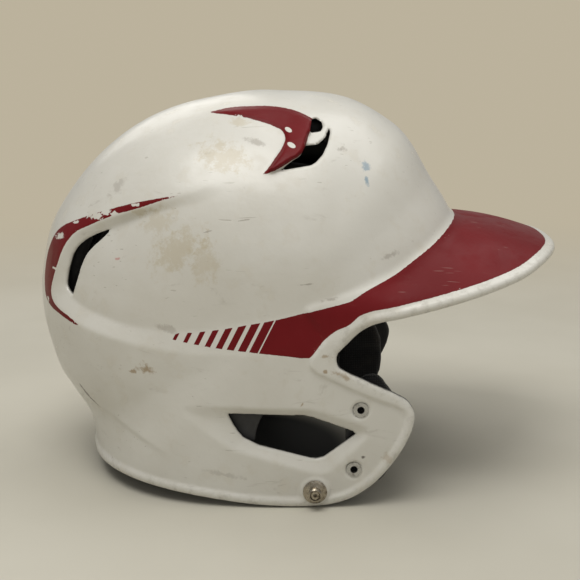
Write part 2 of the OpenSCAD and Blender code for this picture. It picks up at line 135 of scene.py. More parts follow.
ANGLES, plain_radii = profile_table()
back_y = max(AXIS_Y - np.interp(p, ANGLES, plain_radii) * math.cos(math.radians(p))
             for p in range(170, 201))
MID = (-BILL_Y + BILL_REACH + FRONT_MARGIN - back_y) / 2    # shift along y that centres the part
RADII = with_nape(ANGLES, plain_radii)
SLOPES = np.gradient(RADII, ANGLES) * 180 / math.pi


def polar(y, z):
    """Profile angle in degrees and distance from the axis."""
    forward, up = AXIS_Y - y, z - AXIS_Z
    return np.degrees(np.arctan2(up, forward)) % 360, np.hypot(forward, up)


def dome_distance(x, y, z):
    """First-order distance in mm outside the smooth dome."""
    angle, distance = polar(y, z)
    distance = distance + 1e-9
    radius, slope = np.interp(angle, ANGLES, RADII), np.interp(angle, ANGLES, SLOPES)
    u, v = np.abs(x) / HALF_WIDTH, distance / radius
    un, vn = u ** (POWER - 1), v ** (POWER - 1)
    total = un * u + vn * v + 1e-12
    root = total ** (1 / POWER)
    g = root / total
    steepness = np.sqrt((g * un / HALF_WIDTH) ** 2 + (g * vn / radius) ** 2
                        + (g * vn * v * slope / radius / distance) ** 2 + 1e-12)
    return (root - 1) / steepness


def skin_point(angle, sideways, depth):
    """Point of the dome sunk by depth, from the profile and sideways angles in degrees."""
    angle, sideways = np.asarray(angle, float), np.asarray(sideways, float)
    power = 2 / POWER
    turn = np.radians(sideways)
    radius = (np.interp(angle % 360, ANGLES, RADII) - depth) * np.abs(np.cos(turn)) ** power
    x = np.sign(sideways) * (HALF_WIDTH - depth) * np.abs(np.sin(turn)) ** power
    p = np.radians(angle)
    y, z = AXIS_Y - radius * np.cos(p), AXIS_Z + radius * np.sin(p)
    return np.stack(np.broadcast_arrays(x, y, z), -1)


def skin_reach(y, z, depth):
    """Half width of the dome sunk by depth."""
    angle, distance = polar(y, z)
    ratio = distance / (np.interp(angle, ANGLES, RADII) - depth)
    return (HALF_WIDTH - depth) * np.maximum(0, 1 - ratio ** POWER) ** (1 / POWER)


# ------------------------------------------------------------------ side outlines
# (y, z); a third value of 1 marks a sharp corner
LOWER_EDGE = [
    (-24, 81), (-25, 76), (-28.5, 73.6), (-36, 69.8), (-45, 65.2), (-54, 60.8), (-60.5, 56.4),
    (-64.0, 50), (-63.6, 43.5), (-59.8, 33.5), (-52, 21.2), (-42, 10.6), (-32, 4.2), (-21, 0.9),
    (-6, 0), (20, 1.3), (46, 4.4), (73, 7.0), (90, 8.3), (103, 8.6), (115, 8.6), (128, 8.6),
    (160, 8.6, 1)]
BROW_EDGE = [(-160, 123, 1), (-100, 123), (-80, 119), (-60, 111), (-40, 98), (-31, 89.5)]
KEEP = [(160, 230, 1), (-160, 230, 1)] + BROW_EDGE + LOWER_EDGE
RECESS_RIM = [
    (-160, 215, 1), (25, 176), (44.9, 161.5), (52.9, 159.6), (79.8, 150.6), (94.3, 145.4),
    (102.8, 141.4), (111, 136.9), (115.4, 132.4), (119.2, 126.3), (121.8, 120), (124.3, 113.6),
    (126.3, 107.3), (126.6, 102.7), (124.5, 99), (119, 95.4), (109.4, 91.2), (91.4, 87), (80, 85),
    (62, 83), (44, 82), (13.7, 82), (-8, 83), (-25, 91), (-40, 100), (-60, 108), (-160, 128, 1)]
RECESS_FLOOR = [
    (-160, 205, 1), (10, 172), (40, 158), (60, 152.4), (79.6, 146.2), (91, 141), (99.9, 136.2),
    (106.1, 132), (111.8, 125.6), (114.4, 119.4), (116.4, 112.2), (117.2, 107.6), (116, 104.6),
    (113.2, 102.6), (106, 99.2), (96.9, 96.7), (88.2, 94.6), (79.7, 93.4), (60, 93), (43.8, 94),
    (25, 97.5), (4.2, 101.5), (-17.9, 106.5), (-40, 113), (-60, 121), (-160, 152, 1)]
REAR_SLOT = [
    (90.2, 140.9, 1), (99.9, 136.9), (106.1, 133), (109.8, 129.8), (112.6, 125.8), (115, 119.6),
    (116.8, 112.4), (117, 107.9), (115.6, 105.6), (113.4, 104, 1), (112.1, 107.8), (110, 113.6),
    (107.5, 120.6), (104.5, 126.6), (101, 130.6), (95.6, 135.4)]
CREST = [
    (43.5, 197.6, 1), (30.9, 200.4), (20.5, 201.2), (7.4, 201), (-5.5, 198.4), (-12.9, 195, 1),
    (-11.8, 191.8), (-9.8, 187), (-7.8, 181.4), (-5.6, 178.6), (-0.6, 175.6), (5.3, 172.2),
    (14.2, 169, 1), (10.3, 172.9), (6.9, 177.5), (3.4, 182.5), (2, 186.6), (3.2, 189.3),
    (7.4, 191.6), (14.9, 194), (22, 195.6), (30, 196.6)]
BAND = [
    (-76, 103.2, 1), (-48.9, 99.7), (-35.7, 98.2), (-26.2, 95.7), (-22, 93.4), (-17.3, 89.2),
    (-13.4, 84.1), (-10.6, 80), (-10.3, 76.5), (-12.6, 73.6), (-18.7, 70.2), (-27.3, 65.9),
    (-36, 61.7), (-44.8, 57.7), (-53.7, 54), (-58.4, 51), (-61, 46), (-66, 44, 1), (-72, 58, 1),
    (-38, 76, 1), (-38, 86, 1), (-76, 97, 1)]
RED_BAND = [
    (58.6, 90.2, 1), (56.2, 91.7), (47.9, 92.8), (34.3, 94.9), (20.3, 97.4), (4.2, 100.5),
    (-5.3, 102.8), (-17.9, 105.9), (-30.4, 109), (-40.5, 112.6), (-55.9, 119), (-66.7, 124.8),
    (-78.5, 129.8), (-86.7, 134), (-92, 136), (-96, 137.5, 1), (-160, 150, 1), (-160, 108, 1),
    (-72.3, 101.6), (-48.9, 99.7), (-35.7, 98.2), (-31.4, 97.2), (-26.2, 95.7), (-22, 93.4),
    (-17.3, 89.2), (-13.4, 84.1), (-10.9, 80.8, 1), (-5.8, 80.9), (-1, 81.5), (13.7, 83.1),
    (25.2, 84.2), (41.8, 86.1), (58, 88.5, 1)]
RED_STRIPE = [
    (44.9, 161.9, 1), (52.9, 160.3), (80, 154.3), (88.7, 151.7), (111.7, 143), (118.7, 139.6),
    (124.5, 134.8), (128.7, 128), (131.5, 121), (132.8, 113.6), (132.9, 105.4), (131.6, 99.2),
    (128.2, 96), (121.5, 93.5), (112.7, 90.6), (105.8, 88.9, 1), (115.2, 94), (122, 96.8),
    (125.3, 99.2), (126.8, 102.7), (126.3, 107.3), (124.3, 113.8), (121.8, 120.2),
    (119.2, 126.5), (115.4, 132.6), (111, 137.1), (102.8, 141.6), (94.3, 145.6), (86.7, 148.8),
    (79.8, 150.9), (62, 157)]
# (y, z) of an open line, and of outlines whose corners are all sharp
CREST_FRONT = [(-12.7, 194.5), (-11.7, 192), (-9.6, 187), (-7.6, 181.1), (-5.6, 178.6),
               (-0.6, 175.9), (5.3, 172.2), (14, 169)]
UPPER_VENT = [(-11.4, 194.8), (-13.4, 195.3), (-16.5, 193.8), (-17.3, 191.2), (-16, 189.2),
              (-10.4, 188.6)]
LOWER_VENT = [(-8.2, 182.9), (-14.6, 183.5), (-18.2, 186.4), (-20.3, 190.8), (-21, 188.7),
              (-19.4, 183.2), (-16.9, 178.5), (-13.6, 175.2), (-11, 173.8), (4.3, 171.5),
              (-0.6, 175.4), (-5.6, 178.4)]
EAR_HOLE = [(29.5, 50.9), (27, 51.2), (-8.5, 50.4), (-13, 49.4), (-33, 41.6), (-34.4, 40.2),
            (-18.6, 28), (-15, 27.1), (-12, 27.5), (14.4, 34.6), (22, 38.6), (24.8, 42),
            (27.2, 46)]
EAR_DISH = [(55, 53.5), (43, 54.6), (30, 54.4), (-10, 53.8), (-15.5, 52.4), (-36.5, 44.8),
            (-40.6, 42.6), (-40.4, 38.6), (-22, 20.4), (-17.5, 18.6), (-12, 19), (28, 31.6),
            (43.3, 41.4), (53, 48)]
RIM_AREA = [(-80, -10), (-80, 52), (-60, 60), (-48, 56), (40, 40), (155, 40), (155, -10)]

# side-view grid in mm that holds the distances to the outlines
GRID_STEP = 0.5
GRID_Y, GRID_Z = np.arange(-154, 154.01, GRID_STEP), np.arange(-14, 218.01, GRID_STEP)
SIDE_Y, SIDE_Z = np.meshgrid(GRID_Y, GRID_Z, indexing="ij")


def sharp(points, dy=0, dz=0):
    """Points as sharp corners, shifted."""
    return [(y + dy, z + dz, 1) for y, z in points]


def rounded_curve(points, steps):
    """Closed curve through the points, rounded except at sharp corners."""
    p = np.array([q[:2] for q in points], float)
    corner = [len(q) > 2 for q in points]
    count, out = len(p), []

    def tangent(k, own):
        if corner[k]:
            return own
        before, after = p[k] - p[k - 1], p[(k + 1) % count] - p[k]
        len_before, len_after = np.linalg.norm(before), np.linalg.norm(after)
        mean = before / len_before * len_after + after / len_after * len_before
        return mean / max(np.linalg.norm(mean), 1e-9)

    for i in range(count):
        j = (i + 1) % count
        length = np.linalg.norm(p[j] - p[i])
        unit = (p[j] - p[i]) / max(length, 1e-9)
        first, last = tangent(i, unit) * length, tangent(j, unit) * length
        out += [hermite(k / steps, p[i], p[j], first, last) for k in range(steps)]
    return np.array(out)


def outline(points, steps=5, closed=True):
    """Grid of distances to an outline, negative inside where it is closed."""
    curve = rounded_curve(points, steps) if closed else np.array(points, float)
    count = len(curve)
    squared = np.full(SIDE_Y.shape, 1e9)
    inside = np.zeros(SIDE_Y.shape, bool)
    for i in range(count if closed else count - 1):
        a, b = curve[i], curve[(i + 1) % count]
        e = b - a
        wy, wz = SIDE_Y - a[0], SIDE_Z - a[1]
        t = np.clip((wy * e[0] + wz * e[1]) / max(e @ e, 1e-12), 0, 1)
        np.minimum(squared, (wy - t * e[0]) ** 2 + (wz - t * e[1]) ** 2, out=squared)
        if closed and a[1] != b[1]:
            in_rows = (SIDE_Z >= min(a[1], b[1])) & (SIDE_Z < max(a[1], b[1]))
            inside ^= in_rows & (SIDE_Y < a[0] + (SIDE_Z - a[1]) * e[0] / e[1])
    distance = np.sqrt(squared)
    return np.where(inside, -distance, distance) if closed else distance


def blur(values, radius):
    """Gaussian blur of a grid; radius in grid steps."""
    weights = np.exp(-0.5 * (np.arange(-3 * radius, 3 * radius + 1) / radius) ** 2)
    weights /= weights.sum()
    for _ in range(2):
        padded = np.pad(values, ((3 * radius, 3 * radius), (0, 0)), mode="edge")
        values = sum(w * padded[i:i + len(values)] for i, w in enumerate(weights)).T
    return values


def sample(grid, y, z):
    """Bilinear value of a side-view grid."""
    fy = np.clip((y - GRID_Y[0]) / GRID_STEP, 0, len(GRID_Y) - 1.001)
    fz = np.clip((z - GRID_Z[0]) / GRID_STEP, 0, len(GRID_Z) - 1.001)
    i, j = fy.astype(int), fz.astype(int)
    u, v = fy - i, fz - j
    near = grid[i, j] * (1 - u) + grid[i + 1, j] * u
    far = grid[i, j + 1] * (1 - u) + grid[i + 1, j + 1] * u
    return near * (1 - v) + far * v


def between(rim, floor):
    """0 outside the rim outline, 1 inside the floor outline, a ramp between them."""
    t = -rim / (-rim + np.maximum(floor, 0) + 1e-9)
    return np.where(rim >= 0, 0, np.where(floor <= 0, 1, t))


# relief of the shell: all heights and depths in mm
ear_hole = outline(sharp(EAR_HOLE, 0.7, -0.9)) - 0.5
crest = outline(CREST)
keep_area = outline(KEEP)
HOLES = np.minimum.reduce([outline(REAR_SLOT), ear_hole,
                           outline(sharp(UPPER_VENT)), outline(sharp(LOWER_VENT))])
upper_share = ease(98, 138, SIDE_Z)
lower_depth = 2.4 * ease(-62, -2, SIDE_Y) + 2.1 * ease(40, 96, SIDE_Y)
upper_depth = 4.5 * ease(28, 88, SIDE_Y)
recess = blur(between(outline(RECESS_RIM), outline(RECESS_FLOOR))
              * ((1 - upper_share) * lower_depth + upper_share * upper_depth), 1)
dish = blur(3.0 * between(outline(sharp(EAR_DISH)), ear_hole - 0.4), 1)
crest_height = ((0.9 + 2.3 * (1 - ease(0, 15, outline(CREST_FRONT, closed=False))))
                * ease(0.2, 1.6, -crest) * (1 - 0.75 * ease(26, 44, SIDE_Y)))
rim_bead = (1.25 * ease(5.6, 3.6, -keep_area)
            * ease(0, 5, -outline(sharp(RIM_AREA), steps=1)))
band_height = 1.15 * ease(-0.1, 1.2, -outline(BAND))
fold = (1.0 * ease(1.2, -2.6, (SIDE_Y - 66.5) * -0.406 + (SIDE_Z - 28.1) * 0.914)
        * ease(56, 84, SIDE_Y))
OUTER_DEPTH = recess + dish - crest_height - np.maximum(rim_bead, band_height) + fold
INNER_DEPTH = blur(recess, 3) + 0.85 * dish
PAINT_AREAS = [-outline(RED_BAND), -outline(RED_STRIPE), -crest]    # positive inside

# ------------------------------------------------------------------ bill
# (y, z) of the bill's edge
BILL_EDGE_Z = np.array([
    (-147, 124.5), (-140, 123.5), (-133, 121.5), (-124, 118), (-106, 113.2), (-80, 107.2),
    (-55, 101.6), (-40, 98.2), (-35, 95.7), (-28, 89.5), (-24, 84)])
# (sideways angle, profile angle) where the bill meets the dome
BILL_ROOT = np.array([(0, 22.4), (24, 22.3), (44, 20.6), (64, 18.5), (80, 24)])
BILL_HALF_WIDTH = 92.6
BILL_ROUND = 0.8                # exponent of the edge in plan
BILL_CAMBER = 2.2
BILL_EDGE_RADIUS = 2.35
BILL_ACROSS, BILL_ALONG = 110, 22   # cells from a side to the middle, and from root to edge


def table_curve(table, x):
    """Smooth curve through the rows of a table."""
    place, value = table.T
    slope = np.gradient(value, place)
    i = np.clip(np.searchsorted(place, x, side="right") - 1, 0, len(place) - 2)
    width = place[i + 1] - place[i]
    u = np.clip((x - place[i]) / width, 0, 1)
    return hermite(u, value[i], value[i + 1], slope[i], slope[i + 1], width)


def bill_line(turn, along):
    """Line across the middle sheet. turn: 0 at the side root, 90 at the front, in degrees;
    along: 0 at the dome, 1 at the edge."""
    angle = np.radians(turn)
    y = BILL_Y - BILL_REACH * np.abs(np.sin(angle)) ** BILL_ROUND
    x = BILL_HALF_WIDTH * np.abs(np.cos(angle)) ** BILL_ROUND - 1.6 * (1 - ease(2, 16, turn))
    edge = np.stack([x, y, table_curve(BILL_EDGE_Z, y)], -1)
    sideways = np.maximum(80 * (1 - turn / 90), 0.001)
    root_depth = -0.3 + 0.6 * np.sin(angle) + 3.0 * (1 - ease(3, 24, turn))
    root = skin_point(table_curve(BILL_ROOT, sideways), sideways, root_depth)
    length = np.linalg.norm(edge - root, axis=-1)
    share = along * (1 - np.minimum(2.3 / np.maximum(length, 1e-6), 0.7))
    points = root + (edge - root) * share[:, None]
    points[:, 2] += BILL_CAMBER * np.sin(math.pi * share) * np.sin(angle)
    return points


half_turns = 90 * np.linspace(0, 1, BILL_ACROSS + 1)
half_sheet = np.stack([bill_line(half_turns, s) for s in np.linspace(0, 1, BILL_ALONG + 1)], 1)
sheet = np.concatenate([half_sheet, half_sheet[-2::-1] * np.array([-1, 1, 1])], 0)
BILL_TURNS = np.concatenate([half_turns, half_turns[-2::-1]])
BILL_EDGE = sheet[:, -1]
sheet_points = sheet.reshape(-1, 3)
ROW = BILL_ALONG + 1
BILL_TREE = BVHTree.FromPolygons(
    [Vector(p) for p in sheet_points],
    [(i * ROW + j, i * ROW + j + 1, (i + 1) * ROW + j + 1, (i + 1) * ROW + j)
     for i in range(len(sheet) - 1) for j in range(BILL_ALONG)])
# height range of the sheet at stations along y
STATION_Y = np.linspace(-146, -10, 69)
heights = [sheet_points[np.abs(sheet_points[:, 1] - y) < 3, 2] for y in STATION_Y]
STATION_LOW = np.array([h.min() if len(h) else 200 for h in heights])
STATION_HIGH = np.array([h.max() if len(h) else -200 for h in heights])


def bill_near(points, limit=14.0):
    """Per point: distance to the middle sheet, thickness there, height above the sheet."""
    count = len(points)
    distance, thickness, above = np.full(count, 30.0), np.full(count, 4.0), np.zeros(count)
    for k, point in enumerate(points):
        place, normal, face, gap = BILL_TREE.find_nearest(point, limit)
        if place is not None:
            distance[k] = gap
            thickness[k] = 3.4 + 1.0 * math.sin(math.radians(BILL_TURNS[face // BILL_ALONG]))
            height = sum((point[c] - place[c]) * normal[c] for c in range(3))
            above[k] = height * (1 if normal[2] > 0 else -1)
    return distance, thickness, above


def bill_edge_distance(points):
    squared = np.full(len(points), 1e9)
    for start, end in zip(BILL_EDGE[:-1], BILL_EDGE[1:]):
        e = end - start
        w = points - start
        t = np.clip(w @ e / max(e @ e, 1e-12), 0, 1)
        np.minimum(squared, ((w - t[:, None] * e) ** 2).sum(1), out=squared)
    return np.sqrt(squared)


# ------------------------------------------------------------------ shell as a distance field
INSERTS = [(-36.5, 53.0, 90.4), (-33.5, 20.5, 88.4)]    # (y, z, x of the flat seat)
SNAP_Y, SNAP_Z, SNAP_X = -13.6, 9.0, 90.6               # x is the boss face
SEAT_RADIUS, SEAT_BACKING_RADIUS, SEAT_WALL = 4.6, 7.6, 3.5
BOSS_RADIUS, BOSS_LENGTH, BOSS_BACKING_RADIUS, BOSS_WALL = 7.4, 8, 7.5, 5.4
FAR = 9.0                       # stands for well outside
# (y, z, bore radius, radius within which the bore acts)
BORES = [(y, z, 3.0, 6) for y, z, _ in INSERTS] + [(SNAP_Y, SNAP_Z, 2.3, 5)]


def smooth_min(a, b, blend):
    h = np.clip(0.5 + 0.5 * (b - a) / blend, 0, 1)
    return b * (1 - h) + a * h - blend * h * (1 - h)


def smooth_max(a, b, blend):
    return -smooth_min(-a, -b, blend)


def bill_zone(y, z, top=146):
    return (y < -3) & (z > 76) & (z < top)


def bill_field(points, dome):
    """Signed distance to the bill; points far from it get rough values."""
    y, z = points[:, 1], points[:, 2]
    distance, edge = np.full(len(points), 30.0), np.full(len(points), 30.0)
    thickness = np.full(len(points), 4.0)
    low, high = np.interp(y, STATION_Y, STATION_LOW), np.interp(y, STATION_Y, STATION_HIGH)
    close = (z > low - 12) & (z < high + 12) & (dome > -9) & (dome < 200)
    if close.any():
        distance[close], thickness[close], _ = bill_near(points[close])
        edge[close] = bill_edge_distance(points[close])
    return smooth_min(distance - thickness / 2, edge - BILL_EDGE_RADIUS, blend=1.2)


def field(points):
    """Signed distance in mm to the shell: negative inside the plastic."""
    x, y, z = np.abs(points[:, 0]), points[:, 1], points[:, 2]
    dome = dome_distance(x, y, z)
    outer = dome + sample(OUTER_DEPTH, y, z)
    for seat_y, seat_z, seat_x in INSERTS:
        radius = np.hypot(y - seat_y, z - seat_z)
        seat = np.where(radius < SEAT_RADIUS + 2,
                        np.minimum(x - seat_x, SEAT_RADIUS - radius), -FAR)
        outer = smooth_max(outer, seat, blend=0.3)
    body = smooth_max(outer, sample(keep_area, y, z), blend=2.2)
    radius = np.hypot(y - SNAP_Y, z - SNAP_Z)
    boss = np.maximum(np.maximum(x - SNAP_X, SNAP_X - BOSS_LENGTH - x), radius - BOSS_RADIUS)
    body = smooth_min(body, np.where(radius < 14, boss, FAR), blend=0.8)
    zone = bill_zone(y, z)
    if zone.any():
        body[zone] = smooth_min(body[zone], bill_field(points[zone], dome[zone]),
                                blend=2.6 + 4.0 * ease(-20, -46, y[zone]))
    # the cavity keeps solid backing behind the insert seats and the snap boss
    cavity = dome + sample(INNER_DEPTH, y, z) + WALL
    for seat_y, seat_z, seat_x in INSERTS:
        cavity = np.where(np.hypot(y - seat_y, z - seat_z) < SEAT_BACKING_RADIUS,
                          np.maximum(cavity, x - (seat_x - SEAT_WALL)), cavity)
    cavity = np.where(radius < BOSS_BACKING_RADIUS,
                      np.maximum(cavity, x - (SNAP_X - BOSS_WALL)), cavity)
    body = smooth_max(body, -cavity, blend=0.8)
    body = smooth_max(body, np.minimum(-sample(HOLES, y, z), x - 20), blend=1.0)
    for bore_y, bore_z, bore, limit in BORES:
        radius = np.hypot(y - bore_y, z - bore_z)
        body = np.maximum(body, np.where((radius < limit) & (x > 60), bore - radius, -FAR))
    return body


def field_grid(cell):
    """Grid lines and field values; only the half at +x is worked out, then mirrored."""
    xs = (np.arange(0, int(99 / cell)) + 0.5) * cell
    ys = np.arange(-151.3, 146.5, cell)
    zs = np.arange(-3.4, 212.5, cell)
    values = np.empty((len(xs), len(ys), len(zs)), np.float32)
    yy, zz = np.meshgrid(ys, zs, indexing="ij")
    y, z = yy.ravel(), zz.ravel()
    for i, x in enumerate(xs):
        xx = np.full(len(y), x)
        dome = dome_distance(xx, y, z)
        active = (bill_zone(y, z) & (dome > -8)) | (np.abs(dome + 1.5) < 7.5)
        active |= (x > 75) & (np.hypot(y - SNAP_Y, z - SNAP_Z) < 12)
        layer = np.full(len(y), FAR, np.float32)
        if active.any():
            layer[active] = field(np.stack([xx[active], y[active], z[active]], 1))
        values[i] = layer.reshape(yy.shape)
    return (np.concatenate([-xs[::-1], xs]), ys, zs,
            np.concatenate([values[::-1], values], 0))


def surface_net(cell):
    """Quad mesh of field() = 0 on a grid with cells of the given size in mm."""
    xs, ys, zs, f = field_grid(cell)
    solid = f < 0
    nx, ny, nz = f.shape
    corners = list(itertools.product((0, 1), repeat=3))
    count = np.zeros((nx - 1, ny - 1, nz - 1), np.int8)
    for a, b, c in corners:
        count += solid[a:nx - 1 + a, b:ny - 1 + b, c:nz - 1 + c]
    crossed = (count > 0) & (count < 8)
    index = np.full(crossed.shape, -1, np.int64)
    ii, jj, kk = np.nonzero(crossed)
    index[ii, jj, kk] = np.arange(len(ii))
    # each crossed cell gets a point at the mean of its edges' crossings
    total, hits = np.zeros((len(ii), 3)), np.zeros(len(ii))
    for start in corners:
        for axis in range(3):
            if start[axis]:
                continue
            end = list(start)
            end[axis] = 1
            first = f[ii + start[0], jj + start[1], kk + start[2]]
            last = f[ii + end[0], jj + end[1], kk + end[2]]
            hit = (first < 0) != (last < 0)
            point = np.full((len(ii), 3), start, float)
            point[:, axis] += np.where(hit, first / np.where(hit, first - last, 1), 0)
            total[hit] += point[hit]
            hits[hit] += 1
    total /= hits[:, None]
    origin = np.stack([xs[ii], ys[jj], zs[kk]], 1)
    # each crossed grid edge gets a face between the four cells around it
    quads = []
    for axis in range(3):
        lower, upper, inner = [slice(None)] * 3, [slice(None)] * 3, [slice(None)] * 3
        lower[axis], upper[axis] = slice(0, -1), slice(1, None)
        side_1, side_2 = (axis + 1) % 3, (axis + 2) % 3
        inner[side_1] = inner[side_2] = slice(1, -1)
        change = solid[tuple(lower)] != solid[tuple(upper)]
        edges = np.zeros_like(change)
        edges[tuple(inner)] = change[tuple(inner)]
        at = np.array(np.nonzero(edges)).T
        forward = solid[tuple(lower)][at[:, 0], at[:, 1], at[:, 2]]
        ring = []
        for back_1, back_2 in ((1, 1), (0, 1), (0, 0), (1, 0)):
            q = at.copy()
            q[:, side_1] -= back_1
            q[:, side_2] -= back_2
            ring.append(index[q[:, 0], q[:, 1], q[:, 2]])
        faces = np.stack(ring, 1)
        faces[~forward] = faces[~forward][:, ::-1]
        quads.append(faces)
    return origin + total * cell, np.concatenate(quads, 0)


def relax(v, quads, amount=0.55, spare_holes=False):
    """Evens the spacing of the points, less so beside the holes if they are spared."""
    a, b = quads.T.ravel(), np.roll(quads, -1, axis=1).T.ravel()
    size = len(v)
    links = np.bincount(a, minlength=size) + np.bincount(b, minlength=size)
    mean = np.stack([np.bincount(a, v[b, k], size) + np.bincount(b, v[a, k], size)
                     for k in range(3)], 1) / links[:, None]
    if spare_holes:
        gap = np.abs(sample(HOLES, v[:, 1], v[:, 2]))
        amount = amount * np.clip((gap - 0.5) / 2.0, 0.2, 1)[:, None]
    return v + (mean - v) * amount


def settle(v, probe=0.15, limit=0.6):
    """Moves the points onto field() = 0 by one step of at most the limit."""
    here = field(v)
    slope = np.stack([(field(v + d) - here) / probe for d in np.eye(3) * probe], 1)
    length = np.maximum(np.sqrt((slope ** 2).sum(1)), 0.3)
    step = np.clip(here / length, -limit, limit)
    return v - step[:, None] * slope / length[:, None]


def crisp(v, near=0.75, probe=0.4):
    """Draws points beside a hole's edge onto its outline, so that the edge is clean."""
    y, z = v[:, 1], v[:, 2]
    h = sample(HOLES, y, z)
    slope_y = (sample(HOLES, y + probe, z) - sample(HOLES, y - probe, z)) / (2 * probe)
    slope_z = (sample(HOLES, y, z + probe) - sample(HOLES, y, z - probe)) / (2 * probe)
    m = (np.abs(h) < near) & (np.abs(v[:, 0]) > 20)
    out = v.copy()
    out[m, 1] -= (h * slope_y)[m]
    out[m, 2] -= (h * slope_z)[m]
    return out


# ------------------------------------------------------------------ node graphs
def operator(operation, swapped=False):
    def method(self, other=0.0):
        pair = (other, self) if swapped else (self, other)
        return self.graph.math(operation, *pair)
    return method


class Value:
    """A node output that takes arithmetic; each operation adds a math node."""

    def __init__(self, graph, socket):
        self.graph, self.socket = graph, socket

    __add__, __radd__ = operator("ADD"), operator("ADD", swapped=True)
    __sub__, __rsub__ = operator("SUBTRACT"), operator("SUBTRACT", swapped=True)
    __mul__, __truediv__ = operator("MULTIPLY"), operator("DIVIDE")
    __lt__, __gt__ = operator("LESS_THAN"), operator("GREATER_THAN")
    __abs__ = operator("ABSOLUTE")


class Graph:
    """Node material under construction; values and numbers can be mixed freely."""

    def __init__(self, name):
        self.material = bpy.data.materials.new(name)
        self.material.use_nodes = True
        self.tree = self.material.node_tree
        self.tree.nodes.clear()
        self.output = self.node("ShaderNodeOutputMaterial")
        self.shader = self.node("ShaderNodeBsdfPrincipled")
        self.tree.links.new(self.shader.outputs[0], self.output.inputs[0])
        self.position = self.get(self.node("ShaderNodeTexCoord"), "Object")

    def node(self, kind, **settings):
        node = self.tree.nodes.new(kind)
        for key, value in settings.items():
            setattr(node, key, value)
        return node

    def get(self, node, output=0):
        return Value(self, node.outputs[output])

    def put(self, socket, value):
        if isinstance(value, Value):
            self.tree.links.new(value.socket, socket)
        elif isinstance(value, tuple) and len(value) == 3 and socket.type == "RGBA":
            socket.default_value = (*value, 1)
        else:
            socket.default_value = value

    def fill(self, node, inputs):
        """Sets inputs by name or number; returns the node's first output."""
        for key, value in inputs.items():
            self.put(node.inputs[key], value)
        return self.get(node)

    def math(self, operation, a, b=0.0):
        return self.fill(self.node("ShaderNodeMath", operation=operation), {0: a, 1: b, 2: 0.0})

    def length(self, a, b):
        return self.math("SQRT", a * a + b * b)

    def ramp(self, x, start, end, low=0.0, high=1.0):
        """Smooth step from low at start to high at end."""
        node = self.node("ShaderNodeMapRange", interpolation_type="SMOOTHSTEP")
        return self.fill(node, {0: x, 1: start, 2: end, 3: low, 4: high})

    def fade(self, x, start, end):
        return self.ramp(x, start, end, low=1.0, high=0.0)

    def mix_colour(self, factor, a, b):
        node = self.node("ShaderNodeMix", data_type="RGBA")
        self.fill(node, {0: factor, 6: a, 7: b})
        return self.get(node, 2)

    def tint(self, colour, over, mask, amount):
        return self.mix_colour(mask * amount, colour, over)

    def mix_value(self, factor, a, b):
        return self.fill(self.node("ShaderNodeMix", data_type="FLOAT"), {0: factor, 2: a, 3: b})

    def mapping(self, scale=(1000, 1000, 1000), rotation=(0, 0, 0), location=(0, 0, 0)):
        """Position scaled, by default to millimetres."""
        return self.fill(self.node("ShaderNodeMapping"), {
            "Vector": self.position, "Location": location, "Rotation": rotation, "Scale": scale})

    def noise(self, scale, detail=3.0, rough=0.55, distort=0.0, vector=None):
        vector = vector or self.mapping()
        return self.fill(self.node("ShaderNodeTexNoise"), {
            "Vector": vector, "Scale": scale, "Detail": detail, "Roughness": rough,
            "Distortion": distort})

    def cells(self, vector, scale):
        node = self.node("ShaderNodeTexVoronoi")
        self.fill(node, {"Vector": vector, "Scale": scale})
        return self.get(node, "Distance")

    def attribute(self, name):
        return self.get(self.node("ShaderNodeAttribute", attribute_name=name), "Fac")

    def separate(self, vector):
        node = self.node("ShaderNodeSeparateXYZ")
        self.put(node.inputs[0], vector)
        return [self.get(node, axis) for axis in range(3)]

    def millimetres(self):
        """x, y and z in mm, before centring."""
        x, y, z = self.separate(self.position)
        return x * 1000.0, y * 1000.0 - MID, z * 1000.0

    def ellipse(self, y, z, centre_y, centre_z, half_length, half_height, turn):
        """Radius in units of a turned ellipse: 1 on its outline."""
        dy, dz = y - centre_y, z - centre_z
        cos, sin = math.cos(turn), math.sin(turn)
        return self.length((dy * cos + dz * sin) / half_length,
                           (dz * cos - dy * sin) / half_height)

    def bump(self, height, distance, strength=1.0, normal=None):
        inputs = {"Strength": strength, "Distance": distance, "Height": height}
        if normal is not None:
            inputs["Normal"] = normal
        return self.fill(self.node("ShaderNodeBump"), inputs)

    def finish(self, inputs):
        self.fill(self.shader, inputs)
        return self.material


# ------------------------------------------------------------------ shell material
BROWN, OCHRE, GREY = (0.36, 0.27, 0.17), (0.50, 0.43, 0.29), (0.33, 0.30, 0.26)
BLUE, PINK, DARK = (0.22, 0.33, 0.42), (0.55, 0.27, 0.25), (0.12, 0.10, 0.09)
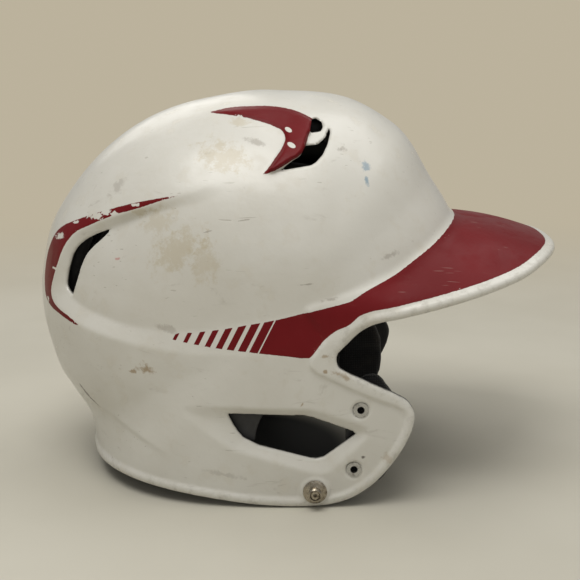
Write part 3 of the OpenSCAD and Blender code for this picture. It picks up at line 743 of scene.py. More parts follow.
# stains, rubs and dark lines on the right side:
# (y, z, half length, half height in mm, turn in radians, strength, colour)
STAINS = [
    (71.6, 72.0, 5.2, 3.1, 0.35, 0.75, BROWN), (79.7, 70.0, 2.1, 1.3, 0, 0.60, BROWN),
    (55.4, 132.9, 17.7, 10.4, -0.61, 0.34, OCHRE), (40.9, 128.6, 8.3, 12.5, 0, 0.26, OCHRE),
    (33.4, 177.7, 15.6, 7.8, 0.21, 0.36, OCHRE), (64.8, 146.7, 11.4, 7.3, -0.35, 0.24, OCHRE),
    (17.0, 184.7, 6.2, 1.8, 0.26, 0.42, GREY), (-26.2, 181.2, 2.6, 1.6, 0, 0.50, GREY),
    (-38.8, 172.8, 2.6, 3.1, 0, 0.50, BLUE), (-39.1, 165.9, 1.3, 3.6, -0.35, 0.55, BLUE),
    (86.8, 126.4, 1.8, 1.0, -0.17, 0.60, PINK), (-18.7, 82.0, 3.6, 1.3, 0, 0.50, BROWN),
    (-18.2, 74.3, 1.3, 1.0, 0, 0.60, BROWN), (-26.7, 72.0, 5.7, 1.6, 0.42, 0.50, BROWN),
    # the DARK lines at y 104-109, z 45-49 darken a short line where the lower-rear crease starts
    (-38.0, 27.5, 1.1, 0.8, 0, 0.70, DARK), (108.5, 49.1, 7.3, 0.8, 0.87, 0.60, DARK),
    (104.3, 45.1, 4.2, 0.6, 0.79, 0.50, DARK), (21.3, 148.8, 4.7, 0.4, -0.17, 0.50, GREY),
    (-9.1, 117.8, 4.7, 0.4, -0.09, 0.50, GREY), (40.0, 142.9, 4.2, 0.4, -0.26, 0.45, GREY),
    (-6.8, 56.5, 1.6, 0.5, -1.05, 0.55, BROWN), (-50.9, 26.4, 3.1, 4.2, -0.70, 0.30, BROWN),
    (-50.7, 129.9, 5.2, 1.6, -0.35, 0.35, GREY), (-20.5, 110.0, 6.2, 1.0, -0.17, 0.35, GREY),
    (74.4, 150.8, 8.3, 2.6, -0.17, 0.35, OCHRE), (25.1, 193.8, 6.2, 2.6, 0, 0.30, OCHRE),
    (87.4, 161.9, 5.2, 3.1, -0.70, 0.28, GREY), (61.5, 94.0, 7.3, 2.1, 0.17, 0.30, GREY),
    (32.5, 17.6, 13.5, 1.6, 0.17, 0.22, GREY)]
# (y, z, half length, half height, turn): paint chipped to the white plastic on the right side
CHIPS = [
    (99.5, 146.6, 4.7, 2.1, -0.17), (93.2, 149.2, 3.1, 1.6, -0.17), (88.0, 148.8, 2.1, 1.3, 0),
    (121.2, 133.5, 3.6, 1.4, -0.35), (124.2, 116.7, 1.6, 0.8, 0), (111.1, 142.1, 2.1, 0.8, -0.35),
    (77.3, 153.9, 2.6, 0.8, -0.17), (25.3, 196.0, 2.1, 1.3, 0), (129.7, 98.9, 0.8, 1.6, 0)]
# the same columns: bare ovals at the front of the crest, on both sides
OVALS = [(0.3, 190.5, 1.9, 1.0, 0.42), (-1.3, 183.6, 2.2, 1.1, 0.42)]
RIGHT_X = -20.0                 # the right side starts here
# slanted bars at the rear end of the red band, in mm
BAR_START, BAR_PITCH, BAR_SLANT, BAR_LEVEL = 57.3, 5.85, 0.51, 90.0
BAR_SHARE, BAR_SHARE_STEP = 0.31, 0.064     # painted share of the first pitch, gain per pitch
# (rotation, offset) of the scratch directions
SCRATCHES = [((0.0, 0.3, 0.5), 0.0), ((0.7, 0.0, 1.3), 3.1), ((1.2, 0.4, 0.1), 7.7)]


def painted_bars(g, y, z):
    """1 where paint may lie; splits the rear of the red band into slanted bars."""
    along = y + (z - BAR_LEVEL) * BAR_SLANT
    pitches = (BAR_START - along) / BAR_PITCH
    share = BAR_SHARE + g.math("FLOOR", pitches) * BAR_SHARE_STEP
    bar = g.math("FRACT", pitches) < share
    bars = g.math("MAXIMUM", along < 11.2, bar)
    zone = (along > 11.1) * (z < 104.0) * ((along < 60.0) * (y > -2.0))
    return g.mix_value(zone, 1.0, bars)


def paint_mask(g, x, y, z):
    """1 on maroon paint, 0 on bare plastic."""
    paint = g.attribute("paint")
    ragged = (g.noise(scale=0.55, detail=2) - 0.5) * 0.5
    chips = g.ramp(g.noise(scale=0.42, detail=4, rough=0.7), start=0.70, end=0.74)
    near_edge = g.fade(paint, start=0.0, end=2.2)
    mask = g.ramp(paint + ragged, start=0.03, end=0.28) * painted_bars(g, y, z)
    mask = mask * (1.0 - chips * near_edge)
    for oval in OVALS:
        mask = mask * g.ramp(g.ellipse(y, z, *oval), start=0.92, end=1.08)
    bits = g.noise(scale=0.60, detail=3, rough=0.6)
    for chip in CHIPS:
        radius = g.ellipse(y, z, *chip) + (bits - 0.5) * 3.0
        mask = mask * (1.0 - g.fade(radius, start=0.80, end=0.95) * (x < RIGHT_X))
    return mask


def white_plastic(g, x, y, z, large, medium, smears, grime):
    """Warm white, slightly uneven, yellowed, scuffed and stained."""
    white = g.mix_colour(g.ramp(large, start=0.35, end=0.68),
                         (0.645, 0.628, 0.575), (0.690, 0.678, 0.632))
    yellowing = g.ramp(medium, start=0.52, end=0.74)
    white = g.tint(white, over=(0.560, 0.515, 0.420), mask=yellowing, amount=0.30)
    white = g.tint(white, over=(0.30, 0.265, 0.215), amount=0.38,
                   mask=g.ramp(smears, start=0.60, end=0.78))
    spots = g.ramp(g.noise(scale=0.30, detail=5, rough=0.75), start=0.70, end=0.80)
    white = g.tint(white, over=(0.20, 0.17, 0.14), mask=spots, amount=0.45)
    white = g.tint(white, over=(0.24, 0.215, 0.17), mask=grime, amount=0.40)
    grain = g.noise(scale=0.22, detail=5, rough=0.75)
    right = x < RIGHT_X
    for *oval, strength, colour in STAINS:
        radius = g.ellipse(y, z, *oval) + (grain - 0.5) * 3.4
        stain = g.fade(radius, start=0.30, end=1.05) * min(0.9, strength * 1.45) * right
        white = g.mix_colour(stain, white, colour)
    return white


def hairline_scratches(g):
    found = None
    for rotation, offset in SCRATCHES:
        vector = g.mapping(scale=(1000, 45, 1000), rotation=rotation, location=(offset,) * 3)
        streaks = g.noise(scale=0.55, detail=1, rough=0.5, vector=vector)
        patches = g.noise(scale=0.03, detail=2)
        lines = g.ramp(streaks, start=0.745, end=0.775) * g.ramp(patches, start=0.48, end=0.56)
        found = lines if found is None else g.math("MAXIMUM", found, lines)
    return found


def shell_material():
    g = Graph("shell_paint")
    x, y, z = g.millimetres()
    painted = paint_mask(g, x, y, z)
    inside = g.attribute("inside")
    large = g.noise(scale=0.018, detail=3, rough=0.6)
    medium = g.noise(scale=0.085, detail=4, rough=0.62)
    smears = g.noise(scale=0.10, detail=5, rough=0.7, distort=0.8,
                     vector=g.mapping(scale=(1000, 420, 1300), rotation=(0.3, 0.2, 0.1)))
    grime_noise = g.noise(scale=0.22, detail=5, rough=0.7)
    grime = (g.fade(g.attribute("rim"), start=0.0, end=7.0)
             * g.ramp(grime_noise, start=0.46, end=0.70))
    scratches = hairline_scratches(g)
    white = white_plastic(g, x, y, z, large, medium, smears, grime)
    white = g.tint(white, over=(0.33, 0.30, 0.25), mask=scratches, amount=0.40)
    maroon = g.mix_colour(g.ramp(large, start=0.35, end=0.7),
                          (0.140, 0.0070, 0.0095), (0.168, 0.0095, 0.0125))
    maroon = g.tint(maroon, over=(0.20, 0.085, 0.065), amount=0.30,
                    mask=g.ramp(smears, start=0.58, end=0.80))
    maroon = g.tint(maroon, over=(0.42, 0.27, 0.24), mask=scratches, amount=0.5)
    colour = g.mix_colour(painted, white, maroon)
    colour = g.tint(colour, over=(0.020, 0.020, 0.021), mask=inside, amount=0.97)
    roughness = g.mix_value(g.ramp(medium, start=0.40, end=0.75), 0.34, 0.50)
    roughness = roughness + grime * 0.25 + inside * 0.12
    normal = g.bump(painted, distance=0.00006)
    normal = g.bump(g.noise(scale=0.20, detail=2, rough=0.5), distance=0.00022, strength=0.55,
                    normal=normal)
    normal = g.bump(scratches * -1.0, distance=0.00010, strength=0.6, normal=normal)
    coat = (1.0 - painted) * (g.ramp(inside, start=0.0, end=1.0, low=0.42, high=0.0)
                              * g.ramp(grime, start=0.0, end=1.0, low=1.0, high=0.35))
    return g.finish({
        "Base Color": colour, "Roughness": roughness, "Normal": normal, "Coat Weight": coat,
        "Coat Roughness": g.ramp(medium, start=0.4, end=0.8, low=0.16, high=0.32),
        "Specular IOR Level": g.mix_value(painted, 0.46, 0.13)})


# ------------------------------------------------------------------ materials of the other parts
WAVE_SCALE = 0.314              # wave texture scale for a pitch of 1 mm


def fabric_material(name, base, light, pitch=1.15, sheen=0.25, dust=0.25):
    """Knitted cover: rows of loops, dusty patches, a little lint."""
    g = Graph(name)
    mm = g.mapping()
    waves = []
    for direction in "XYZ":
        node = g.node("ShaderNodeTexWave", bands_direction=direction)
        g.fill(node, {"Vector": mm, "Scale": WAVE_SCALE / pitch, "Distortion": 0.6,
                      "Detail": 1.0})
        waves.append(g.get(node, "Fac"))
    x_wave, y_wave, z_wave = waves
    normal_x, _, normal_z = g.separate(g.get(g.node("ShaderNodeNewGeometry"), "Normal"))
    faces_side = g.ramp(abs(normal_x), start=0.5, end=0.8)
    faces_up = g.ramp(abs(normal_z), start=0.5, end=0.8)
    weave = g.mix_value(faces_side, x_wave * z_wave, y_wave * z_wave)
    weave = g.mix_value(faces_up, weave, y_wave * x_wave)
    fuzz = g.noise(scale=1.6, detail=4, rough=0.7, vector=mm)
    patches = g.ramp(g.noise(scale=0.045, detail=3, rough=0.6, vector=mm), start=0.45, end=0.72)
    lint = g.ramp(g.cells(mm, scale=0.33), start=0.06, end=0.02)
    colour = g.mix_colour(weave, base, light)
    colour = g.tint(colour, over=(0.085, 0.075, 0.065), mask=patches, amount=dust)
    colour = g.tint(colour, over=(0.20, 0.19, 0.18), mask=lint, amount=0.5)
    return g.finish({
        "Base Color": colour, "Roughness": g.mix_value(fuzz, 0.72, 0.92),
        "Normal": g.bump(weave + fuzz * 0.35, distance=0.00028, strength=0.8),
        "Sheen Weight": sheen, "Sheen Roughness": 0.5, "Specular IOR Level": 0.3})


def foam_material(name, base, light, cell=0.55, depth=0.0002):
    """Closed-cell foam: fine skin with open pores and scuffs."""
    g = Graph(name)
    mm = g.mapping()
    pores = g.cells(mm, scale=cell)
    pits = g.ramp(g.cells(mm, scale=cell * 0.45), start=0.30, end=0.12)
    tone = g.noise(scale=0.05, detail=3, rough=0.6, vector=mm)
    dust = g.ramp(g.noise(scale=0.12, detail=5, rough=0.7, vector=mm), start=0.56, end=0.78)
    colour = g.mix_colour(g.ramp(tone, start=0.35, end=0.7), base, light)
    colour = g.tint(colour, over=tuple(c * 0.35 for c in base), mask=pits, amount=0.5)
    colour = g.tint(colour, over=(0.12, 0.11, 0.095), mask=dust, amount=0.22)
    return g.finish({
        "Base Color": colour, "Roughness": g.mix_value(tone, 0.62, 0.82),
        "Normal": g.bump(pores - pits * 1.2, distance=depth, strength=0.8),
        "Specular IOR Level": 0.35})


def moulded_material(name, base, light, rough=0.45):
    """Moulded part with a fine spark texture and rubbed patches."""
    g = Graph(name)
    mm = g.mapping()
    spark = g.noise(scale=1.1, detail=3, rough=0.7, vector=mm)
    worn = g.noise(scale=0.07, detail=4, rough=0.65, vector=mm)
    return g.finish({
        "Base Color": g.mix_colour(g.ramp(worn, start=0.40, end=0.72), base, light),
        "Roughness": g.mix_value(g.ramp(worn, start=0.4, end=0.7), rough, rough + 0.18),
        "Normal": g.bump(spark, distance=0.00012, strength=0.7), "Specular IOR Level": 0.45})


def metal_material(name, base, dark, rough=0.24):
    """Plated metal: tarnish, fine grain and scratches."""
    g = Graph(name)
    tarnish = g.noise(scale=0.30, detail=5, rough=0.7)
    grain = g.noise(scale=0.8, detail=2, rough=0.5, vector=g.mapping(scale=(1000, 5200, 5200)))
    streaks = g.noise(scale=0.9, detail=2,
                      vector=g.mapping(scale=(200, 2600, 900), rotation=(0.6, 0, 0)))
    scratch = g.ramp(streaks, start=0.66, end=0.72)
    colour = g.mix_colour(g.ramp(tarnish, start=0.48, end=0.72), base, dark)
    colour = g.tint(colour, over=(0.85, 0.84, 0.82), mask=scratch, amount=0.35)
    dull = g.ramp(tarnish, start=0.40, end=0.75)
    return g.finish({
        "Base Color": colour, "Roughness": g.mix_value(dull, rough, rough + 0.28),
        "Normal": g.bump(grain + scratch, distance=0.00004, strength=0.7), "Metallic": 1.0})


SHELL_PAINT = shell_material()
PAD_COVER = fabric_material("pad_cover", base=(0.0075, 0.0075, 0.0085),
                            light=(0.030, 0.030, 0.033))
EDGE_BINDING = fabric_material("pad_edge_binding", base=(0.006, 0.006, 0.007),
                               light=(0.022, 0.022, 0.024), pitch=0.8, sheen=0.15, dust=0.15)
LINER_FOAM = foam_material("liner_foam_skin", base=(0.016, 0.016, 0.017),
                           light=(0.030, 0.030, 0.031))
CORE_FOAM = foam_material("pad_core_foam", base=(0.030, 0.030, 0.032),
                          light=(0.052, 0.052, 0.055), cell=0.8, depth=0.0003)
BASE_BOARD = moulded_material("pad_base_board", base=(0.020, 0.020, 0.022),
                              light=(0.040, 0.040, 0.042))
TAB_FABRIC = fabric_material("hook_and_loop_tab", base=(0.010, 0.010, 0.011),
                             light=(0.045, 0.045, 0.048), pitch=0.7, sheen=0.1, dust=0.3)
INSERT_METAL = metal_material("insert_nickel", base=(0.50, 0.50, 0.49), dark=(0.20, 0.18, 0.155))
SNAP_METAL = metal_material("snap_plating", base=(0.40, 0.355, 0.285), dark=(0.15, 0.12, 0.085))


# ------------------------------------------------------------------ building helpers
def to_part(points):
    """mm before centring to metres in the part frame."""
    return (np.asarray(points, float) + np.array([0, MID, 0])) / 1000.0


def link(obj):
    bpy.context.scene.collection.objects.link(obj)
    return obj


def shade_smooth(mesh):
    mesh.polygons.foreach_set("use_smooth", np.ones(len(mesh.polygons), bool))


def read_points(mesh):
    points = np.empty(len(mesh.vertices) * 3, np.float32)
    mesh.vertices.foreach_get("co", points)
    return points.reshape(-1, 3)


def make_mesh(name, points, faces, material):
    """Smooth-shaded object from points in mm and an array of faces."""
    mesh = bpy.data.meshes.new(name)
    v = to_part(points).astype(np.float32)
    f = np.asarray(faces, np.int32)
    sides = f.shape[1]
    mesh.vertices.add(len(v))
    mesh.vertices.foreach_set("co", v.ravel())
    mesh.loops.add(f.size)
    mesh.loops.foreach_set("vertex_index", f.ravel())
    mesh.polygons.add(len(f))
    mesh.polygons.foreach_set("loop_start", np.arange(0, f.size, sides, dtype=np.int32))
    mesh.polygons.foreach_set("loop_total", np.full(len(f), sides, np.int32))
    mesh.update(calc_edges=True)
    mesh.validate()
    shade_smooth(mesh)
    mesh.materials.append(material)
    return link(bpy.data.objects.new(name, mesh))


def register(obj, node=None, body="helmet"):
    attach(obj, body)
    if node:
        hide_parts(node)


# ------------------------------------------------------------------ shell
UNPAINTED = -4.0


def shell_attributes(v):
    """Paint and rim distances in mm, and the share that is inner surface, per point."""
    x, y, z = np.abs(v[:, 0]), v[:, 1], v[:, 2]
    dome = dome_distance(x, y, z)
    inside = ease(-1.0, -2.2, dome + sample(OUTER_DEPTH, y, z))
    paint = np.maximum.reduce([sample(area, y, z) for area in PAINT_AREAS])
    rim = -sample(keep_area, y, z)
    zone = bill_zone(y, z, top=150)
    edge, above, gap = np.full(len(v), 60.0), np.zeros(len(v)), np.full(len(v), 30.0)
    if zone.any():
        edge[zone] = bill_edge_distance(v[zone])
        gap[zone], _, above[zone] = bill_near(v[zone])
    on_bill = zone & (gap < 6)
    # the bill is painted on top, up to a border along its edge
    share = ease(1.0, 2.6, dome) * ease(-26, -36, y) * on_bill
    paint = paint * (1 - share) + np.where(above > 0, edge - 4.0, UNPAINTED) * share
    paint = np.where(on_bill & (above < -0.4) & (edge > 2), UNPAINTED, paint)
    paint = np.where(inside > 0.3, UNPAINTED, paint)
    paint = np.where(dome < 1.2, np.minimum(paint, rim - 1.6), paint)
    rim = np.where(on_bill & (dome > 1.5), edge, rim)
    inside = np.where(on_bill & (dome > 0), 0, inside)
    return {"paint": np.clip(paint, -6, 6), "rim": np.clip(rim, 0, 25), "inside": inside}


def build_shell():
    v, faces = surface_net(1.2)
    v = settle(relax(relax(v, faces), faces))
    v = settle(relax(v, faces, amount=0.6, spare_holes=True))
    v = crisp(settle(relax(v, faces, amount=0.35, spare_holes=True)))
    obj = make_mesh("shell_moulding", v, faces, SHELL_PAINT)
    for name, values in shell_attributes(v).items():
        attribute = obj.data.attributes.new(name, "FLOAT", "POINT")
        attribute.data.foreach_set("value", np.asarray(values, np.float32))
    register(obj, "shell")


build_shell()

# ------------------------------------------------------------------ pad shapes
# depths in mm below the smooth dome, growing towards the head
LINER_OUTER, LINER_INNER = WALL + 1.0, WALL + 13.0
SIDE_OUTER = WALL + 4.9
SIDE_INNER = SIDE_OUTER + 6.5
LINER_CLEARANCE = 0.1
GAP = 1.8
PAD = (LINER_INNER + GAP, LINER_INNER + GAP + 7.0)
SIDE_PAD = (SIDE_INNER + GAP, SIDE_INNER + GAP + 6)
NAPE_PAD = (LINER_OUTER, LINER_OUTER + 9)
BOARD, CORE, FACE = (7.2, 8.6), (8.7, 14.0), (14.1, 24.1)
TAB = (LINER_INNER + 0.9, LINER_INNER + 1.5)
DEGREES = 57.3                  # per radian, rounded
SIDES = ((-1, "right"), (1, "left"))


def rounded(a, b, k):
    """Square coordinates -1 to 1 with the corners drawn in."""
    return a * (1 - k + k * np.sqrt(1 - b * b / 2)), b * (1 - k + k * np.sqrt(1 - a * a / 2))


# Each patch gives the function that places a pad's point (a, b), each -1 to 1, at a depth.
# trim shortens each edge, in mm.
def dome_patch(centre, half, k=0.8, trim=0.0):
    """Patch given by its profile and sideways angles."""
    def at(a, b, depth):
        ra, rb = rounded(a, b, k)
        return skin_point(centre[0] + (half[0] - trim / 105 * DEGREES) * ra,
                          centre[1] + (half[1] - trim / 90 * DEGREES) * rb + 1e-4, depth)
    return at


def on_side(y, z, side, depth):
    return np.stack(np.broadcast_arrays(side * skin_reach(y, z, depth), y, z), -1)


def side_patch(centre, half, side=1, trim=0.0):
    """Patch given by y and z."""
    def at(a, b, depth):
        ra, rb = rounded(a, b, 0.8)
        y, z = centre[0] + (half[0] - trim) * ra, centre[1] + (half[1] - trim) * rb
        return on_side(y, z, side, depth)
    return at


def ring_patch(centre, angles, radii, side=1, trim=0.0):
    """Part of a ring in side view, between two angles and two radii."""
    def at(a, b, depth):
        ra, rb = rounded(a, b, 0.6)
        middle = (radii[0] + radii[1]) / 2
        half_angle = (angles[1] - angles[0]) / 2 - trim / middle * DEGREES
        turn = np.radians((angles[0] + angles[1]) / 2 + half_angle * ra)
        radius = middle + ((radii[1] - radii[0]) / 2 - trim) * rb
        return on_side(centre[0] - radius * np.cos(turn), centre[1] + radius * np.sin(turn),
                       side, depth)
    return at


def channels(depth, width, a_lines=(), b_lines=()):
    """Depth of straight channels at given a and b values."""
    def groove(a, b):
        cut = 0 * a
        for values, lines in ((a, a_lines), (b, b_lines)):
            for line in lines:
                cut = np.maximum(cut, depth * np.exp(-((values - line) / width) ** 2))
        return cut
    return groove


def slab(at, cells, depths, soft, groove=None):
    """Closed pad with rounded edges and an optional groove on the head side.

    Returns points, faces, and (a, b, layer) per face, with layer 1 on the head side.
    """
    nu, nv = cells
    a, b = np.meshgrid(np.linspace(-1, 1, nu + 1), np.linspace(-1, 1, nv + 1), indexing="ij")
    # points crowd towards the edges, so that the rounding is smooth
    a = np.sin(a * math.pi / 2) * 0.35 + a * 0.65
    b = np.sin(b * math.pi / 2) * 0.35 + b * 0.65
    e = np.maximum(np.abs(a), np.abs(b))
    bulge = np.sqrt(np.maximum(0, 1 - np.clip((e - (1 - soft)) / soft, 0, 1) ** 2))
    middle, half = (depths[0] + depths[1]) / 2, (depths[1] - depths[0]) / 2
    cut = groove(a, b) if groove else 0 * a
    outer = at(a, b, middle - half * bulge)
    inner = at(a, b, middle + np.maximum(half - cut, 0.25 * half) * bulge)
    outer_ids = np.arange(a.size).reshape(a.shape)
    own = e < 1 - 1e-9          # border points are shared by both layers
    inner_ids = outer_ids.copy()
    inner_ids[own] = a.size + np.arange(own.sum())
    v = np.concatenate([outer.reshape(-1, 3), inner[own]])

    def quads(ids):
        ring = [ids[:-1, :-1], ids[1:, :-1], ids[1:, 1:], ids[:-1, 1:]]
        return np.stack(ring, -1).reshape(-1, 4)

    faces = np.concatenate([quads(outer_ids), quads(inner_ids)[:, ::-1]])
    # make the faces point outwards
    p = v[faces]
    normal = np.cross(p[:, 2] - p[:, 0], p[:, 3] - p[:, 1])
    if (normal * (p.mean(1) - v.mean(0))).sum() < 0:
        faces = faces[:, ::-1]
    middles = [((m[:-1, :-1] + m[1:, 1:]) / 2).ravel() for m in (a, b)]
    layer = np.repeat([0.0, 1.0], nu * nv)
    return v, faces, np.stack([*(np.tile(m, 2) for m in middles), layer], 1)


def tube(path, radius, sides=8):
    """Closed tube along a loop of points."""
    p = np.asarray(path, float)
    count = len(p)
    along = np.roll(p, -1, 0) - np.roll(p, 1, 0)
    along /= np.linalg.norm(along, axis=1)[:, None]
    u = np.cross(along, p - p.mean(0))
    u /= np.maximum(np.linalg.norm(u, axis=1), 1e-9)[:, None]
    w = np.cross(along, u)
    turn = np.linspace(0, 2 * math.pi, sides, endpoint=False)[None, :, None]
    v = p[:, None] + radius * (u[:, None] * np.cos(turn) + w[:, None] * np.sin(turn))
    faces = []
    for i in range(count):
        j = (i + 1) % count
        for k in range(sides):
            m = (k + 1) % sides
            faces.append((i * sides + k, i * sides + m, j * sides + m, j * sides + k))
    return v.reshape(-1, 3), np.array(faces)


def border_path(at, depth, count=44):
    """Loop around a pad's border, with count points per side."""
    s, one = np.linspace(-1, 1, count, endpoint=False), np.full(count, 1.0)
    return at(np.concatenate([s, one, -s, -one]), np.concatenate([-one, s, one, -s]), depth)


# ------------------------------------------------------------------ liners
def liner(name, node, at, outer, inner, cells, groove):
    v, faces, _ = slab(at, cells, (outer, inner - LINER_CLEARANCE), 0.10, groove)
    register(make_mesh(name, v, faces, LINER_FOAM), node)


liner("brow_liner_foam", "brow_liner", dome_patch((35, 0), (15.6, 41.6)),
      LINER_OUTER, LINER_INNER, (30, 72),
      channels(2.6, 0.035, a_lines=(0.1,), b_lines=(-0.66, -0.33, 0, 0.33, 0.66)))
liner("crown_liner_foam", "crown_liner", dome_patch((88, 0), (31.6, 28.6)),
      LINER_OUTER, LINER_INNER, (56, 48),
      channels(2.6, 0.04, a_lines=(-0.5, 0, 0.5), b_lines=(-0.45, 0.45)))
liner("rear_liner_foam", "rear_liner", dome_patch((160, 0), (35.6, 29.6)),
      SIDE_OUTER + 0.6, LINER_INNER, (60, 48),
      channels(2.2, 0.04, a_lines=(-0.55, -0.1, 0.35), b_lines=(-0.4, 0.4)))
for sign, word in SIDES:
    liner("side_liner_foam_" + word, "side_liner_" + word,
          side_patch((14, 128), (55.5, 33.5), side=sign), SIDE_OUTER, SIDE_INNER, (60, 40),
          channels(2.0, 0.04, a_lines=(-0.6, -0.2, 0.2, 0.6), b_lines=(0.0,)))

# ------------------------------------------------------------------ cushions
COVER_CELL = 2.2                # mm, mesh cell of the cloth
LAST_FRAME = 18
# ranges of hold, each given one pin weight
HOLD_RANGES = ((0.02, 0.25), (0.25, 0.5), (0.5, 0.75), (0.75, 1.01))


@dataclass
class Cushion:
    """Cover a little smaller than its space, blown up by the cloth solver while its seams
    and its back stay put."""
    name: str
    node: str
    place: Callable
    depths: tuple
    cells: tuple
    groove: Callable
    rise: float = 2.0           # mm left for blowing up
    body: str = "helmet"
    piping: bool = True
    mirrored: bool = False      # the left one is built, the right one copied

    def start(self):
        v, faces, where = slab(self.place(trim=1.4), self.cells,
                               (self.depths[0] + 0.2, self.depths[1] - self.rise),
                               0.13, self.groove)
        self.obj = make_mesh(self.name, v, faces, PAD_COVER)
        even = self.obj.modifiers.new("even", "REMESH")
        even.mode = "VOXEL"
        even.voxel_size = COVER_CELL / 1000
        even.use_smooth_shade = True
        old = self.obj.data
        self.bake()
        bpy.data.meshes.remove(old)
        self.rest = read_points(self.obj.data).astype(float)
        self.hold = self.hold_weights(v, faces, where)
        self.add_cloth()

    def bake(self):
        """Replaces the mesh by its modified form."""
        depsgraph = bpy.context.evaluated_depsgraph_get()
        mesh = bpy.data.meshes.new_from_object(self.obj.evaluated_get(depsgraph))
        self.obj.modifiers.clear()
        self.obj.data = mesh

    def hold_weights(self, v, faces, where):
        """1 on the back, at the border and in the grooves; 0 where the cover is free."""
        tree = BVHTree.FromPolygons([Vector(p) for p in to_part(v)],
                                    [tuple(int(i) for i in q) for q in faces])
        hold = np.zeros(len(self.rest))
        for i, point in enumerate(self.rest):
            a, b, layer = where[tree.find_nearest(point)[2]]
            if layer < 0.5:
                hold[i] = 1.0
            else:
                seam = min(1.0, float(self.groove(np.array(a), np.array(b))) / 1.1)
                hold[i] = max(ease(0.80, 0.97, max(abs(a), abs(b))), seam)
        return hold

    def add_cloth(self):
        group = self.obj.vertex_groups.new(name="hold")
        for low, high in HOLD_RANGES:
            ids = np.nonzero((self.hold >= low) & (self.hold < high))[0]
            if len(ids):
                weight = (low + high) / 2 if high < 1 else 1.0
                group.add([int(i) for i in ids], weight, "REPLACE")
        cloth = self.obj.modifiers.new("cloth", "CLOTH")
        settings = cloth.settings
        settings.quality = 5
        settings.mass = 0.15
        settings.tension_stiffness = settings.compression_stiffness = 12
        settings.shear_stiffness = 6
        settings.bending_stiffness = 0.4
        settings.use_pressure = True
        settings.uniform_pressure_force = 5.0
        settings.vertex_group_mass = "hold"
        settings.pin_stiffness = 1.0
        settings.effector_weights.gravity = 0
        cloth.point_cache.frame_start, cloth.point_cache.frame_end = 1, LAST_FRAME

    def blown_up(self, depsgraph):
        """Simulated points, free of drift, with the rise limited and the held parts at rest."""
        evaluated = self.obj.evaluated_get(depsgraph)
        move = read_points(evaluated.to_mesh()) - self.rest
        evaluated.to_mesh_clear()
        held = self.hold > 0.9
        if held.any():
            move -= np.median(move[held], 0)
        length = np.linalg.norm(move, axis=1)
        move *= (np.minimum(length, self.rise / 1000) / np.maximum(length, 1e-9))[:, None]
        return self.rest + move * (1 - ease(0.6, 1.0, self.hold))[:, None]

    def finish(self, depsgraph):
        points = self.blown_up(depsgraph)
        obj = self.obj
        obj.modifiers.clear()
        obj.vertex_groups.clear()
        obj.data.vertices.foreach_set("co", points.astype(np.float32).ravel())
        obj.data.update()
        soften = obj.modifiers.new("soften", "SMOOTH")
        soften.factor, soften.iterations = 0.5, 5
        fine = obj.modifiers.new("fine", "SUBSURF")
        fine.levels = fine.render_levels = 1
        self.bake()
        obj.data.materials.clear()
        obj.data.materials.append(PAD_COVER)
        shade_smooth(obj.data)
        made = [(obj, self.node, self.body)]
        if self.piping:
            depth = self.depths[0] + (self.depths[1] - self.depths[0]) * 0.42
            v, faces = tube(border_path(self.place(trim=1.5), depth), radius=0.75)
            made.append((make_mesh(self.name + "_piping", v, faces, EDGE_BINDING),
                         None, self.body))
        if self.mirrored:
            made += [(mirror_copy(part), node and node.replace("left", "right"),
                      body.replace("left", "right")) for part, node, body in made]
        for part, node, body in made:
            register(part, node, body)


def mirror_copy(obj):
    mesh = obj.data.copy()
    points = read_points(mesh)
    points[:, 0] *= -1
    mesh.vertices.foreach_set("co", points.ravel())
    mesh.flip_normals()
    return link(bpy.data.objects.new(obj.name.replace("left", "right"), mesh))


# centre (y, z) in mm, angles in degrees, radii in mm
EAR_RING = ((-6, 38), (52, 200), (21, 45))
JAW_RING = ((-6, 36), (-38, 37), (23, 51))
JAW_FACE_RING = ((-6, 36), (-38, 47), (23, 54.5))

CUSHIONS = [
    Cushion("brow_cushion", "brow_pad", partial(dome_patch, (33, 0), (12, 38)), PAD, (20, 60),
            channels(2.4, 0.085, b_lines=(-0.5, 0, 0.5))),
    Cushion("crown_cushion", "crown_pad", partial(dome_patch, (88, 0), (24, 22)), PAD, (40, 40),
            channels(2.4, 0.085, a_lines=(-0.36, 0.36), b_lines=(0,))),
    Cushion("rear_cushion", "rear_pad", partial(dome_patch, (160, 0), (28, 25)), PAD, (44, 40),
            channels(2.4, 0.085, a_lines=(-0.4, 0.1), b_lines=(0,))),
    Cushion("nape_cushion", "nape_pad", partial(dome_patch, (205, 0), (6, 30)), NAPE_PAD,
            (12, 56), channels(2.6, 0.075, b_lines=(-0.34, 0.34))),
    Cushion("side_cushion_left", "side_pad_left", partial(side_patch, (14, 124), (44, 24)),
            SIDE_PAD, (40, 28), channels(2.2, 0.085, a_lines=(-0.34, 0.34)), rise=1.8,
            mirrored=True),
    Cushion("ear_cushion_left", "ear_pad_face_left", partial(ring_patch, *EAR_RING), FACE,
            (50, 20), channels(2.8, 0.06, a_lines=(-0.3, 0.35)), rise=2.6,
            body="ear_pad_left", piping=False, mirrored=True),
    Cushion("jaw_cushion_left", "jaw_pad_face_left", partial(ring_patch, *JAW_FACE_RING), FACE,
            (36, 22), channels(2.8, 0.08, a_lines=(0.0,)), rise=2.6,
            body="jaw_pad_left", piping=False, mirrored=True)]

for cushion in CUSHIONS:
    cushion.start()
scene = bpy.context.scene
scene.frame_start, scene.frame_end = 1, LAST_FRAME
for frame in range(1, LAST_FRAME + 1):
    scene.frame_set(frame)
    bpy.context.view_layer.update()
simulated = bpy.context.evaluated_depsgraph_get()
for cushion in CUSHIONS:
    cushion.finish(simulated)
scene.frame_set(1)


